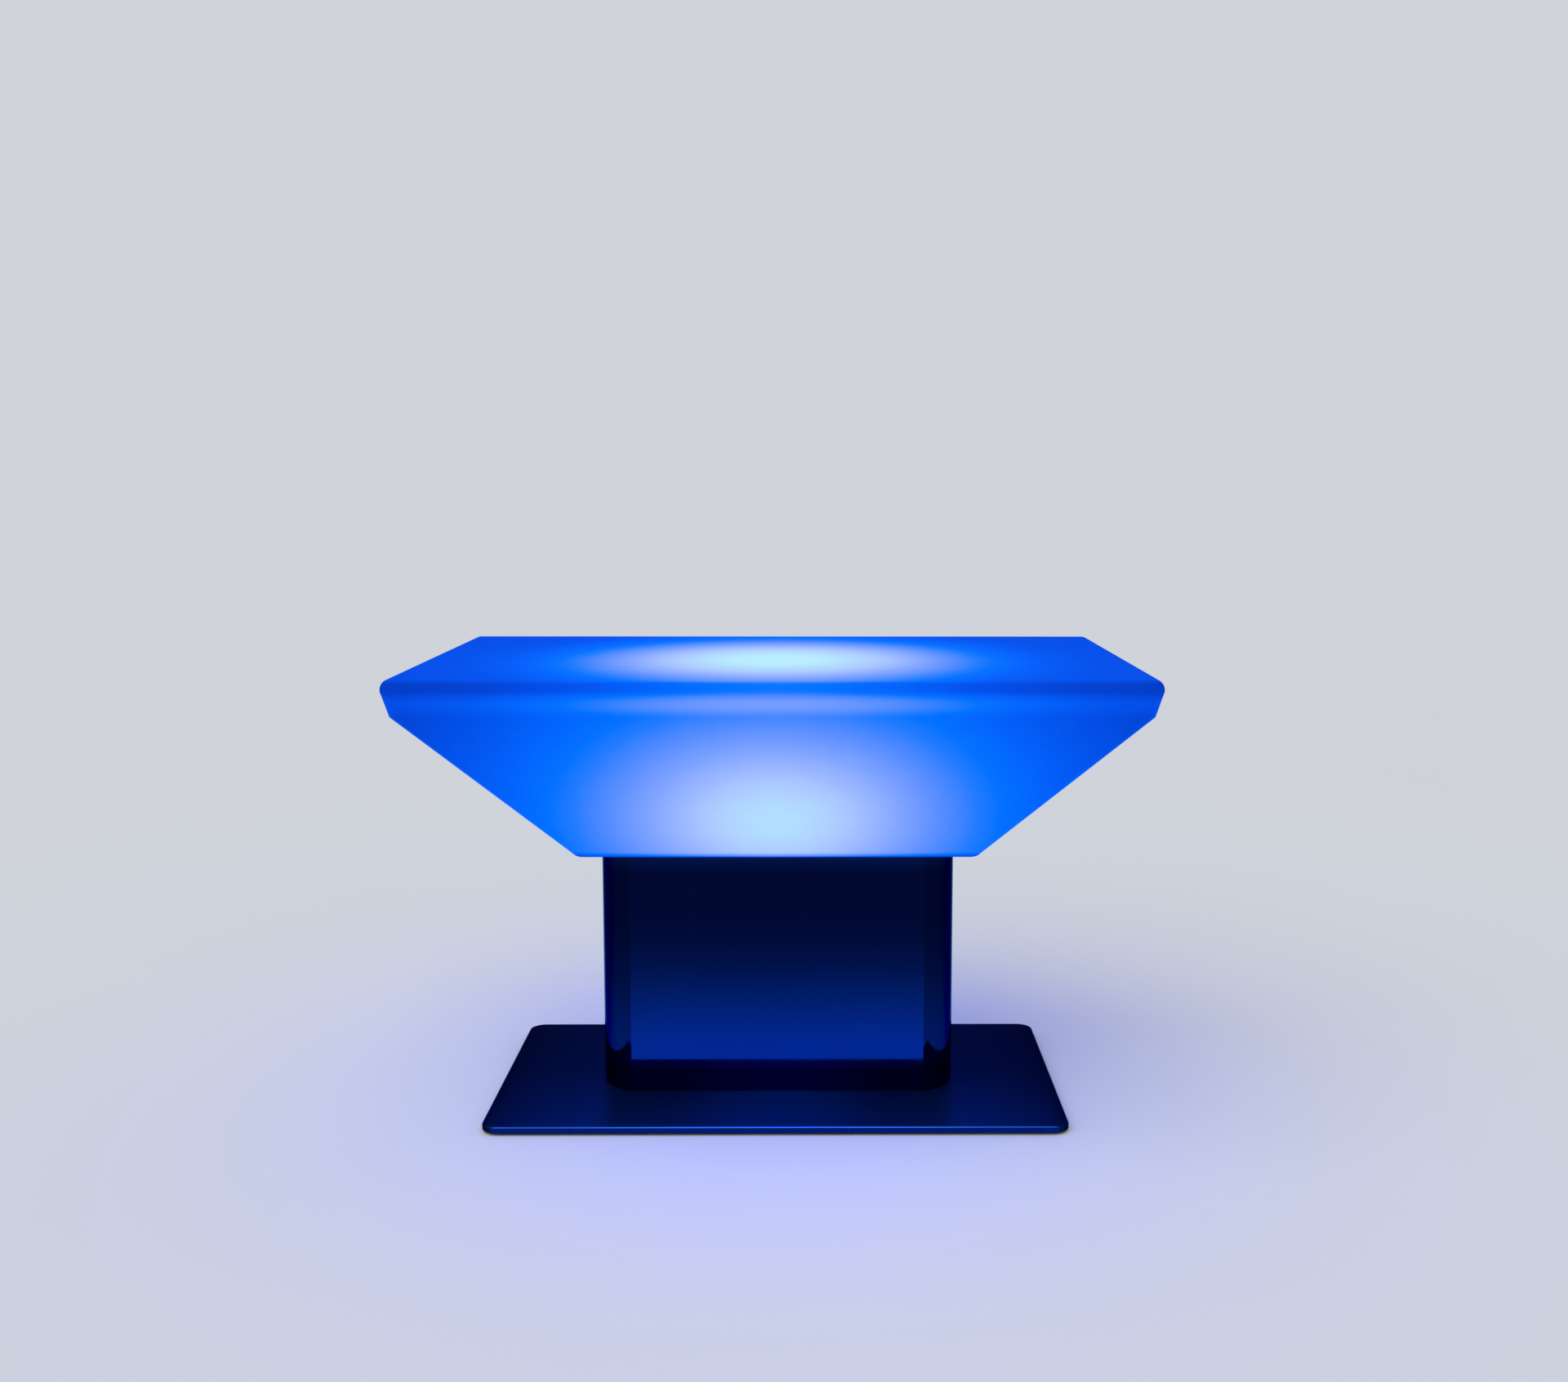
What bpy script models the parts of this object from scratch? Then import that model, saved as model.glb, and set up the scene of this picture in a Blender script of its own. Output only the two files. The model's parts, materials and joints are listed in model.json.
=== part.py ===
# Light-up lounge table: a hollow glowing top on a polished steel column and a flat steel base plate.
# Metres, +Z up. The origin is on the floor under the middle of the table. X runs along its long side
# and the front faces -Y, so the push button and the charging inlet are on the +Y face of the column.

from math import acos, asin, atan2, cos, pi, radians, sin, tan

import bmesh
import bpy
from mathutils import Matrix, Vector

# Clearances and overruns
GAP = 0.0003                    # between two faces that touch
OVERRUN = 0.002                 # how far a cutter runs past the face that it cuts
MERGE_DISTANCE = 0.00001        # points closer than this are one point

# Overall sizes
TABLE_HEIGHT = 0.566
TOP_LENGTH = 0.891
TOP_WIDTH = 0.569

# The hollow glowing top
TOP_BODY_HEIGHT = 0.246
TOP_WALL = 0.005
UNDERSIDE_MARGIN = 0.0154       # least reach of the underside past the column
RIM_HEIGHT = 0.0445
RIM_LEAN = 0.0120               # how far the rim leans in from its top to its crease
TOP_CORNER_RADIUS = 0.0135      # seen from above
TOP_EDGE_RADIUS = 0.0125
CREASE_RADIUS = 0.005
UNDERSIDE_EDGE_RADIUS = 0.0125
BOSS_RADIUS = 0.009
BOSS_HEIGHT = 0.016             # above the inner face of the floor
INSERT_RADIUS = 0.0052
INSERT_HEIGHT = 0.014

# The column
COLUMN_LENGTH = 0.454
COLUMN_WIDTH = 0.153
COLUMN_CORNER_RADIUS = 0.060
COLUMN_CORNER_REACH = 0.040     # from the end of the column to the crease in its long face
COLUMN_WALL = 0.002
FOOT_FLANGE_THICKNESS = 0.006
FOOT_FLANGE_BREADTH = 0.025
HEAD_FLANGE_THICKNESS = 0.005
GASKET_THICKNESS = 0.001
WINDOW_CORNER_RADIUS = 0.012
GASKET_INSET = 0.003            # from the outside of the column

# The base plate and what it stands on
PLATE_LENGTH = 0.718
PLATE_WIDTH = 0.405
PLATE_THICKNESS = 0.008
PLATE_CORNER_RADIUS = 0.021
PLATE_EDGE_RADIUS = 0.0025
GLIDE_RADIUS = 0.015
GLIDE_HEIGHT = 0.003
GLIDE_CHAMFER = 0.0005
GLIDE_INSET = 0.045             # from the edges of the plate

# The countersunk screws from below
BASE_SCREW_RADIUS = 0.003
BASE_SCREW_HEAD_RADIUS = 0.006
BASE_SCREW_HEAD_HEIGHT = 0.0033
BASE_SCREW_LENGTH = 0.0135
BASE_SCREW_END_INSET = 0.062    # from the ends of the column's bore

# The bolts that hold the top
BOLT_RADIUS = 0.003
BOLT_HEAD_RADIUS = 0.005
BOLT_HEAD_HEIGHT = 0.006
BOLT_LENGTH = 0.0175
BOLT_END_INSET = 0.042          # corner bolts, from the ends of the column
BOLT_SIDE_INSET = 0.026         # corner bolts, from the sides of the column
BOLT_FLANGE_RADIUS = 0.007
BOLT_FLANGE_THICKNESS = 0.0012

# The light unit
HEATSINK_RADIUS = 0.055
HEATSINK_THICKNESS = 0.004
FIN_WINDOW_RADIUS = 0.042
FIN_WINDOW_CLEARANCE = 0.002
FIN_LENGTH = 0.028
FIN_THICKNESS = 0.002
FIN_PITCH = 0.0075
FIN_ROOT = 0.001                # web left over the slots, below the plate
LIGHT_OPENING_CLEARANCE = 0.004
BOARD_RADIUS = 0.038
BOARD_THICKNESS = 0.0016
BOARD_SCREW_CIRCLE = 0.032
CHIP_SIZE = 0.005
CHIP_HEIGHT = 0.0016
CHIP_INNER_CIRCLE = 0.010
CHIP_OUTER_CIRCLE = 0.023
DOME_RADIUS = 0.045
DOME_HEIGHT = 0.034
DOME_WALL = 0.002
DOME_FLANGE_BREADTH = 0.004
RING_LIP = 0.0015
GROMMET_RADIUS = 0.0047
GROMMET_FLANGE_RADIUS = 0.0062
GROMMET_FLANGE_THICKNESS = 0.001
DOME_SCREW_LENGTH = 0.012
PAN_SCREW_RADIUS = 0.0015
PAN_HEAD_RADIUS = 0.0027
PAN_HEAD_HEIGHT = 0.002
BOARD_SCREW_LENGTH = 0.0045

# The battery and its clamps
TRAY_MARGIN = 0.004
TRAY_WALL = 0.0015
TRAY_HEIGHT = 0.016
TRAY_CORNER_RADIUS = 0.004
PAD_THICKNESS = 0.004
PACK_CLEARANCE = 0.001
PACK_HEIGHT = 0.058
PACK_EDGE_RADIUS = 0.004
CLAMP_BREADTH = 0.028
CLAMP_THICKNESS = 0.0015
CLAMP_FOOT = 0.011
CLAMP_SCREW_LENGTH = 0.007

# The colour controller
CONTROLLER_LENGTH = 0.110
CONTROLLER_WIDTH = 0.060
CONTROLLER_HEIGHT = 0.031
CONTROLLER_WALL = 0.002
CONTROLLER_CORNER_RADIUS = 0.005
LID_THICKNESS = 0.003
LID_EDGE_RADIUS = 0.001
EAR_LENGTH = 0.012
EAR_WIDTH = 0.018
EAR_THICKNESS = 0.0025
PILLAR_RADIUS = 0.0035
POST_RADIUS = 0.003
POST_HEIGHT = 0.006
CIRCUIT_CLEARANCE = 0.001
GLAND_RADIUS = 0.005
GLAND_HEIGHT = 0.003
GLAND_SETBACK = 0.012
LID_SCREW_LENGTH = 0.009
EAR_SCREW_LENGTH = 0.008

# The push button and the charging inlet
CONTROL_HEIGHT = 0.085          # above the base plate
CONTROL_PITCH = 0.055
BUTTON_RADIUS = 0.006
BUTTON_PROUD = 0.0025
BUTTON_CAP_DEPTH = 0.0078
BUTTON_DISH = 0.0005
BUTTON_STEM_RADIUS = 0.0025
BUTTON_STEM_REACH = 0.002       # into the switch at rest
BUTTON_CHAMFER = 0.0005
BUSHING_RADIUS = 0.008
BUSHING_FLANGE_RADIUS = 0.0105
BUSHING_FLANGE_THICKNESS = 0.002
BUSHING_LENGTH = 0.016          # behind the face of the column
BUSHING_LIP_DEPTH = 0.008       # from the face of the column to the lip inside
BUSHING_LIP_THICKNESS = 0.002
CLIP_RADIUS = 0.0042
CLIP_THICKNESS = 0.0006
CLIP_GROOVE_DEPTH = 0.0006
SPRING_RADIUS = 0.0041
SPRING_WIRE_RADIUS = 0.00025
SWITCH_RADIUS = 0.007
SWITCH_LENGTH = 0.013
SWITCH_WELL_DEPTH = 0.006
SOCKET_RADIUS = 0.0085
SOCKET_FLANGE_RADIUS = 0.0110
SOCKET_FLANGE_THICKNESS = 0.0015
SOCKET_LENGTH = 0.016
SOCKET_CUP_RADIUS = 0.0068
SOCKET_CUP_DEPTH = 0.011
SOCKET_PIN_RADIUS = 0.0011
SOCKET_PIN_LENGTH = 0.009
NUT_RADIUS = 0.0127
NUT_THICKNESS = 0.004

# Leads
LEAD_RADIUS = 0.0025
THIN_LEAD_RADIUS = 0.0018
PACK_LEAD_HEIGHT = 0.040        # above the base plate
BOX_LEAD_HEIGHT = 0.020

# Counts and shares
CORNER_STEPS = 5
LARGE_CORNER_STEPS = 8
EDGE_STEPS = 3
ROUND_STEPS = 24
SMALL_ROUND_STEPS = 10
LEAD_POINTS = 18
SPRING_TURNS = 3
SPRING_POINTS_PER_TURN = 10
INNER_CHIPS = 6
OUTER_CHIPS = 12
DOME_STEPS = 7
LEAD_PULL_SHARE = 0.45          # of the straight distance, along the lead's first and last direction
HEAD_CROWN_SHARE = 0.6
SHARP_ANGLE = radians(35)

# Places worked out from the sizes
PLATE_BOTTOM = GLIDE_HEIGHT + GAP
PLATE_TOP = PLATE_BOTTOM + PLATE_THICKNESS
COLUMN_FOOT = PLATE_TOP + GAP
BODY_BOTTOM = TABLE_HEIGHT - TOP_BODY_HEIGHT
COLUMN_TOP = BODY_BOTTOM - GASKET_THICKNESS - 2 * GAP
COLUMN_HEIGHT = COLUMN_TOP - COLUMN_FOOT
BORE_LENGTH = COLUMN_LENGTH - 2 * COLUMN_WALL
BORE_WIDTH = COLUMN_WIDTH - 2 * COLUMN_WALL
WINDOW_LENGTH = BORE_LENGTH - 2 * GAP - 2 * FOOT_FLANGE_BREADTH
WINDOW_WIDTH = BORE_WIDTH - 2 * GAP - 2 * FOOT_FLANGE_BREADTH
LIGHT_OPENING_RADIUS = HEATSINK_RADIUS + LIGHT_OPENING_CLEARANCE
TRAY_LENGTH = WINDOW_LENGTH / 2 - 2 * TRAY_MARGIN
TRAY_WIDTH = WINDOW_WIDTH - 2 * CLAMP_FOOT - 2 * CLAMP_THICKNESS - 4 * GAP
TRAY_X = -TRAY_MARGIN - TRAY_LENGTH / 2
CONTROLLER_X = WINDOW_LENGTH / 2 - TRAY_MARGIN - EAR_LENGTH - CONTROLLER_LENGTH / 2
BUTTON_X = CONTROLLER_X - CONTROL_PITCH / 2
SOCKET_X = CONTROLLER_X + CONTROL_PITCH / 2


def new_collection(name):
    collection = bpy.data.collections.new(name)
    bpy.context.scene.collection.children.link(collection)
    return collection


def new_material(name, colour, roughness, metallic):
    material = bpy.data.materials.new(name)
    material.use_nodes = True
    shader = material.node_tree.nodes["Principled BSDF"]
    shader.inputs["Base Color"].default_value = (*colour, 1)
    shader.inputs["Roughness"].default_value = roughness
    shader.inputs["Metallic"].default_value = metallic
    return material


def new_unit(name, location=(0, 0, 0), turn=(0, 0, 0)):
    """An empty that carries the pieces of one unit."""
    unit = bpy.data.objects.new(name, None)
    unit.location = location
    unit.rotation_euler = turn
    PARTS.objects.link(unit)
    return unit


def new_piece(name, bm, material, unit, location=(0, 0, 0)):
    """A named object made from a bmesh, with its material, carried by a unit."""
    mesh = bpy.data.meshes.new(name)
    bm.to_mesh(mesh)
    bm.free()
    mesh.materials.append(material)
    mesh.shade_smooth()
    mesh.set_sharp_from_angle(angle=SHARP_ANGLE)
    piece = bpy.data.objects.new(name, mesh)
    piece.parent = unit
    piece.location = location
    PARTS.objects.link(piece)
    return piece


def repeat_piece(name, bm, material, unit, places, height=0):
    """Separate numbered objects that share one mesh, one at each (x, y) place."""
    first = new_piece(name + "_1", bm, material, unit, (*places[0], height))
    for number, place in enumerate(places[1:], 2):
        piece = first.copy()
        piece.name = f"{name}_{number}"
        piece.location = (*place, height)
        PARTS.objects.link(piece)


def combine(piece, bm, operation):
    """Cut or join another shape, given in the piece's own frame."""
    mesh = bpy.data.meshes.new(piece.name + "_" + operation.lower())
    bm.to_mesh(mesh)
    bm.free()
    tool = bpy.data.objects.new(mesh.name, mesh)
    tool.parent = piece
    tool.hide_render = True
    tool.display_type = "WIRE"
    CUTTERS.objects.link(tool)
    boolean = piece.modifiers.new(operation.title(), "BOOLEAN")
    boolean.operation = operation
    boolean.object = tool


def cut(piece, bm):
    combine(piece, bm, "DIFFERENCE")


def join(piece, bm):
    combine(piece, bm, "UNION")


def edges_where(bm, test):
    return [edge for edge in bm.edges if test(*(vert.co for vert in edge.verts))]


def round_edges(bm, edges, radius, steps):
    bmesh.ops.bevel(bm, geom=edges, offset=radius, segments=steps, profile=0.5, affect="EDGES",
                    offset_type="OFFSET", clamp_overlap=True)


def block(length, width, height, corner_radius=0, corner_steps=CORNER_STEPS, low=0, centre=(0, 0)):
    """A block standing on the height low, with its upright edges rounded."""
    bm = bmesh.new()
    place = Matrix.Translation((centre[0], centre[1], low + height / 2))
    bmesh.ops.create_cube(bm, size=1, matrix=place @ Matrix.Diagonal((length, width, height, 1)))
    if corner_radius > 0:
        upright = edges_where(bm, lambda a, b: abs(a.z - b.z) > height / 2)
        round_edges(bm, upright, corner_radius, corner_steps)
    return bm


def round_rim(bm, radius, steps, top=True, bottom=False):
    """Round the rim of a block's top or bottom face."""
    heights = [vert.co.z for vert in bm.verts]
    levels = [max(heights)] * top + [min(heights)] * bottom
    for level in levels:
        rim = edges_where(bm, lambda a, b: abs(a.z - level) + abs(b.z - level) < MERGE_DISTANCE)
        round_edges(bm, rim, radius, steps)
    return bm


def open_top(bm):
    """Take the top face away, which leaves an open surface for Solidify."""
    highest = max(vert.co.z for vert in bm.verts)
    top = [face for face in bm.faces if abs(face.calc_center_median().z - highest) < MERGE_DISTANCE]
    bmesh.ops.delete(bm, geom=top, context="FACES")
    return bm


def give_wall(piece, thickness):
    """Turn an open surface into a shell whose outside stays where the surface is."""
    wall = piece.modifiers.new("Wall", "SOLIDIFY")
    wall.thickness = thickness
    wall.offset = -1
    wall.use_even_offset = True


def post(radius, height, low=0, centre=(0, 0), steps=SMALL_ROUND_STEPS):
    """An upright cylinder; with six steps it is a hexagon."""
    bm = bmesh.new()
    place = Matrix.Translation((centre[0], centre[1], low + height / 2))
    bmesh.ops.create_cone(bm, cap_ends=True, segments=steps, radius1=radius, radius2=radius,
                          depth=height, matrix=place)
    return bm


def turned(profile, steps=ROUND_STEPS):
    """Turn a profile of (radius, height) points about the Z axis with a Screw modifier."""
    count = len(profile)
    rows = [(index, index + 1) for index in range(count - 1)]
    if profile[0][0] > 0:
        rows.append((count - 1, 0))
    mesh = bpy.data.meshes.new("profile")
    mesh.from_pydata([(radius, 0, height) for radius, height in profile], rows, [])
    guide = bpy.data.objects.new("profile", mesh)
    bpy.context.scene.collection.objects.link(guide)
    screw = guide.modifiers.new("Turn", "SCREW")
    screw.angle = 2 * pi
    screw.steps = steps
    screw.render_steps = steps
    screw.use_merge_vertices = True
    screw.merge_threshold = MERGE_DISTANCE
    shape = bpy.data.meshes.new_from_object(guide.evaluated_get(bpy.context.evaluated_depsgraph_get()))
    bpy.data.objects.remove(guide)
    bm = bmesh.new()
    bm.from_mesh(shape)
    bpy.data.meshes.remove(shape)
    bmesh.ops.remove_doubles(bm, verts=bm.verts, dist=MERGE_DISTANCE)
    bmesh.ops.recalc_face_normals(bm, faces=bm.faces)
    return bm


def copies(bm, places):
    """One shape at several (x, y) places, to cut or join them all at once."""
    shape = bpy.data.meshes.new("copy")
    bm.to_mesh(shape)
    bm.free()
    group = bmesh.new()
    for place in places:
        first = len(group.verts)
        group.from_mesh(shape)
        group.verts.ensure_lookup_table()
        bmesh.ops.translate(group, verts=group.verts[first:], vec=Vector(place).to_3d())
    bpy.data.meshes.remove(shape)
    return group


def four(x, y):
    return [(x, y), (x, -y), (-x, y), (-x, -y)]


def around(radius, count, start=0):
    return [(radius * cos(start + 2 * pi * index / count), radius * sin(start + 2 * pi * index / count))
            for index in range(count)]


def fillet(before, corner, after, radius, steps):
    """Points along the arc that rounds a corner of a flat outline."""
    to_before = (Vector(before) - Vector(corner)).normalized()
    to_after = (Vector(after) - Vector(corner)).normalized()
    half_angle = to_before.angle(to_after) / 2
    middle = (to_before + to_after).normalized()
    centre = Vector(corner) + middle * radius / sin(half_angle)
    start = Vector(corner) + to_before * radius / tan(half_angle) - centre
    sweep = start.angle_signed(Vector(corner) + to_after * radius / tan(half_angle) - centre)
    return [centre + Matrix.Rotation(-sweep * step / steps, 2) @ start for step in range(steps + 1)]


def rounded_ring(half_length, half_width, radius, height, steps):
    """The points of a rounded rectangle at one height, anticlockwise seen from above."""
    ring = []
    for quarter in range(4):
        side_x = (1, -1, -1, 1)[quarter]
        side_y = (1, 1, -1, -1)[quarter]
        for step in range(steps + 1):
            angle = pi / 2 * (quarter + step / steps)
            ring.append((side_x * (half_length - radius) + radius * cos(angle),
                         side_y * (half_width - radius) + radius * sin(angle), height))
    return ring


def column_ring(inset, height, steps=LARGE_CORNER_STEPS):
    """The column's outline, moved in from its outside by an inset, anticlockwise seen from above.

    Each corner's arc runs smoothly out of the end face and meets the long face at a shallow crease.
    """
    radius = COLUMN_CORNER_RADIUS - inset
    turn = acos(1 - COLUMN_CORNER_REACH / COLUMN_CORNER_RADIUS)
    depth = COLUMN_CORNER_RADIUS * sin(turn)
    middle_x = COLUMN_LENGTH / 2 - COLUMN_CORNER_RADIUS
    middle_y = COLUMN_WIDTH / 2 - depth
    last = asin((depth - inset) / radius)
    arc = [(middle_x + radius * cos(last * step / steps), middle_y + radius * sin(last * step / steps))
           for step in range(steps + 1)]
    ring = [(x, y) for x, y in arc] + [(-x, y) for x, y in reversed(arc)]
    return [(x, y, height) for x, y in ring] + [(-x, -y, height) for x, y in ring]


def column_slab(inset, height, low=0):
    """A solid slice of the column's outline."""
    return loft([column_ring(inset, low), column_ring(inset, low + height)])


def loft(rings):
    """A closed skin through rings of equal count, from the lowest to the highest."""
    bm = bmesh.new()
    rows = [[bm.verts.new(point) for point in ring] for ring in rings]
    count = len(rows[0])
    for lower, upper in zip(rows, rows[1:]):
        for index in range(count):
            following = (index + 1) % count
            bm.faces.new((lower[index], lower[following], upper[following], upper[index]))
    bm.faces.new(reversed(rows[0]))
    bm.faces.new(rows[-1])
    return bm


def pan_screw(length):
    """A pan-head screw whose head stands on the height zero and whose shank points down."""
    return turned([(0, PAN_HEAD_HEIGHT), (PAN_HEAD_RADIUS * HEAD_CROWN_SHARE, PAN_HEAD_HEIGHT),
                   (PAN_HEAD_RADIUS, PAN_HEAD_HEIGHT * HEAD_CROWN_SHARE), (PAN_HEAD_RADIUS, 0),
                   (PAN_SCREW_RADIUS, 0), (PAN_SCREW_RADIUS, -length), (0, -length)],
                  SMALL_ROUND_STEPS)


def lead(name, unit, start, leaving, end, arriving, radius):
    """An inner lead: a smooth curve that leaves one end and arrives at the other in set directions."""
    start = Vector(start)
    end = Vector(end)
    pull = (end - start).length * LEAD_PULL_SHARE
    first = start + Vector(leaving) * pull
    last = end - Vector(arriving) * pull
    curve = bpy.data.curves.new(name, "CURVE")
    curve.dimensions = "3D"
    curve.bevel_depth = radius
    curve.bevel_resolution = 2
    curve.use_fill_caps = True
    spline = curve.splines.new("POLY")
    spline.points.add(LEAD_POINTS - 1)
    for index, point in enumerate(spline.points):
        t = index / (LEAD_POINTS - 1)
        place = (start * (1 - t) ** 3 + first * 3 * t * (1 - t) ** 2
                 + last * 3 * t ** 2 * (1 - t) + end * t ** 3)
        point.co = (*place, 1)
    curve.materials.append(BLACK_CABLE)
    cable = bpy.data.objects.new(name, curve)
    cable.parent = unit
    PARTS.objects.link(cable)


def bolt_places():
    """The four bolts that hold the top."""
    return four(COLUMN_LENGTH / 2 - BOLT_END_INSET, COLUMN_WIDTH / 2 - BOLT_SIDE_INSET)


def base_screw_places():
    """Screws along the middle line of the foot flange's long sides."""
    return four(BORE_LENGTH / 2 - BASE_SCREW_END_INSET, BORE_WIDTH / 2 - GAP - FOOT_FLANGE_BREADTH / 2)


def clamp_screw_places():
    foot_y = TRAY_WIDTH / 2 + GAP + CLAMP_THICKNESS + CLAMP_FOOT / 2
    return [(TRAY_X, foot_y), (TRAY_X, -foot_y)]


def ear_screw_places():
    reach = CONTROLLER_LENGTH / 2 + EAR_LENGTH / 2
    return [(CONTROLLER_X + reach, 0), (CONTROLLER_X - reach, 0)]


def gland_places():
    """Where the leads enter the controller: switch, charging inlet and light."""
    return [(BUTTON_X, GLAND_SETBACK), (SOCKET_X, GLAND_SETBACK), (CONTROLLER_X, -GLAND_SETBACK)]


def make_base():
    """The glides, the plate and the screws that go up through it."""
    unit = new_unit("base_unit")
    glide = turned([(0, GLIDE_HEIGHT), (GLIDE_RADIUS - GLIDE_CHAMFER, GLIDE_HEIGHT),
                    (GLIDE_RADIUS, GLIDE_HEIGHT - GLIDE_CHAMFER), (GLIDE_RADIUS, GLIDE_CHAMFER),
                    (GLIDE_RADIUS - GLIDE_CHAMFER, 0), (0, 0)], ROUND_STEPS // 2)
    repeat_piece("floor_glide", glide, BLACK_RUBBER, unit,
                 four(PLATE_LENGTH / 2 - GLIDE_INSET, PLATE_WIDTH / 2 - GLIDE_INSET))

    slab = block(PLATE_LENGTH, PLATE_WIDTH, PLATE_THICKNESS, PLATE_CORNER_RADIUS, LARGE_CORNER_STEPS)
    round_rim(slab, PLATE_EDGE_RADIUS, EDGE_STEPS)
    plate = new_piece("base_plate", slab, SATIN_STEEL, unit, (0, 0, PLATE_BOTTOM))
    hole = turned([(0, PLATE_THICKNESS + OVERRUN), (BASE_SCREW_RADIUS + GAP, PLATE_THICKNESS + OVERRUN),
                   (BASE_SCREW_RADIUS + GAP, BASE_SCREW_HEAD_HEIGHT + GAP),
                   (BASE_SCREW_HEAD_RADIUS + GAP, GAP), (BASE_SCREW_HEAD_RADIUS + GAP, -OVERRUN),
                   (0, -OVERRUN)], SMALL_ROUND_STEPS)
    cut(plate, copies(hole, base_screw_places()))
    blind = PLATE_THICKNESS - CLAMP_SCREW_LENGTH
    tapped = post(PAN_SCREW_RADIUS + GAP, CLAMP_SCREW_LENGTH + OVERRUN, low=blind)
    cut(plate, copies(tapped, clamp_screw_places() + ear_screw_places()))

    screw = turned([(0, BASE_SCREW_LENGTH), (BASE_SCREW_RADIUS, BASE_SCREW_LENGTH),
                    (BASE_SCREW_RADIUS, BASE_SCREW_HEAD_HEIGHT), (BASE_SCREW_HEAD_RADIUS, 0), (0, 0)],
                   SMALL_ROUND_STEPS)
    repeat_piece("base_screw", screw, ZINC_STEEL, unit, base_screw_places(), PLATE_BOTTOM)


def make_column():
    """The polished sleeve and the two flanges that are welded into its ends."""
    unit = new_unit("column_unit", (0, 0, COLUMN_FOOT))
    sleeve = new_piece("column_sleeve", column_slab(0, COLUMN_HEIGHT), POLISHED_STEEL, unit)
    cut(sleeve, column_slab(COLUMN_WALL, COLUMN_HEIGHT + 2 * OVERRUN, -OVERRUN))
    control_z = PLATE_TOP + CONTROL_HEIGHT - COLUMN_FOOT
    for x, radius in ((BUTTON_X, BUSHING_RADIUS), (SOCKET_X, SOCKET_RADIUS)):
        drill = post(radius + GAP, COLUMN_WALL + 2 * OVERRUN, -COLUMN_WALL - OVERRUN, steps=ROUND_STEPS)
        place = Matrix.Translation((x, COLUMN_WIDTH / 2, control_z)) @ Matrix.Rotation(-pi / 2, 4, "X")
        bmesh.ops.transform(drill, matrix=place, verts=drill.verts)
        cut(sleeve, drill)

    flange_inset = COLUMN_WALL + GAP
    foot = new_piece("foot_flange", column_slab(flange_inset, FOOT_FLANGE_THICKNESS), MILL_STEEL, unit)
    cut(foot, block(WINDOW_LENGTH, WINDOW_WIDTH, FOOT_FLANGE_THICKNESS + 2 * OVERRUN,
                    WINDOW_CORNER_RADIUS, low=-OVERRUN))
    tapped = post(BASE_SCREW_RADIUS + GAP, FOOT_FLANGE_THICKNESS + 2 * OVERRUN, -OVERRUN)
    cut(foot, copies(tapped, base_screw_places()))

    head = new_piece("head_flange", column_slab(flange_inset, HEAD_FLANGE_THICKNESS), MILL_STEEL, unit,
                     (0, 0, COLUMN_HEIGHT - HEAD_FLANGE_THICKNESS))
    through = HEAD_FLANGE_THICKNESS + 2 * OVERRUN
    cut(head, post(FIN_WINDOW_RADIUS, through, -OVERRUN, steps=ROUND_STEPS))
    cut(head, copies(post(BOLT_RADIUS + GAP, through, -OVERRUN), bolt_places()))
    cut(head, copies(post(PAN_SCREW_RADIUS + GAP, through, -OVERRUN), dome_screw_places()))


def dome_screw_places():
    """Screws through the part of the ring that lies outside the dome's flange."""
    inner = DOME_RADIUS + DOME_FLANGE_BREADTH + GAP
    return around((inner + HEATSINK_RADIUS) / 2, 4, pi / 4)


def body_rings():
    """Rounded rectangles up the outside of the top: underside, taper, crease, rim and table face.

    All four sides taper in by the same amount, until the underside just clears the column.
    """
    lean = atan2(RIM_LEAN, RIM_HEIGHT)
    overhang = TOP_EDGE_RADIUS * (tan(pi / 4 + lean / 2) - 1)
    half_length = TOP_LENGTH / 2 + overhang
    half_width = TOP_WIDTH / 2 + overhang
    room = min(half_length - COLUMN_LENGTH / 2, half_width - COLUMN_WIDTH / 2)
    foot_inset = room - UNDERSIDE_MARGIN
    crease_height = TOP_BODY_HEIGHT - RIM_HEIGHT
    middle = (half_width, 0)
    foot = (foot_inset, 0)
    crease = (RIM_LEAN, crease_height)
    lip = (0, TOP_BODY_HEIGHT)
    far = (half_width, TOP_BODY_HEIGHT)
    underside = fillet(middle, foot, crease, UNDERSIDE_EDGE_RADIUS, EDGE_STEPS + 1)
    waist = fillet(foot, crease, lip, CREASE_RADIUS, EDGE_STEPS - 1)
    edge = fillet(crease, lip, far, TOP_EDGE_RADIUS, 2 * EDGE_STEPS)
    rings = []
    for points, widest in ((underside, underside[-1].x), (waist, foot_inset), (edge, overhang)):
        for inset, height in points:
            radius = TOP_CORNER_RADIUS - max(0, inset - widest)
            rings.append(rounded_ring(half_length - inset, half_width - inset, radius, height,
                                      CORNER_STEPS))
    return rings


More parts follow.
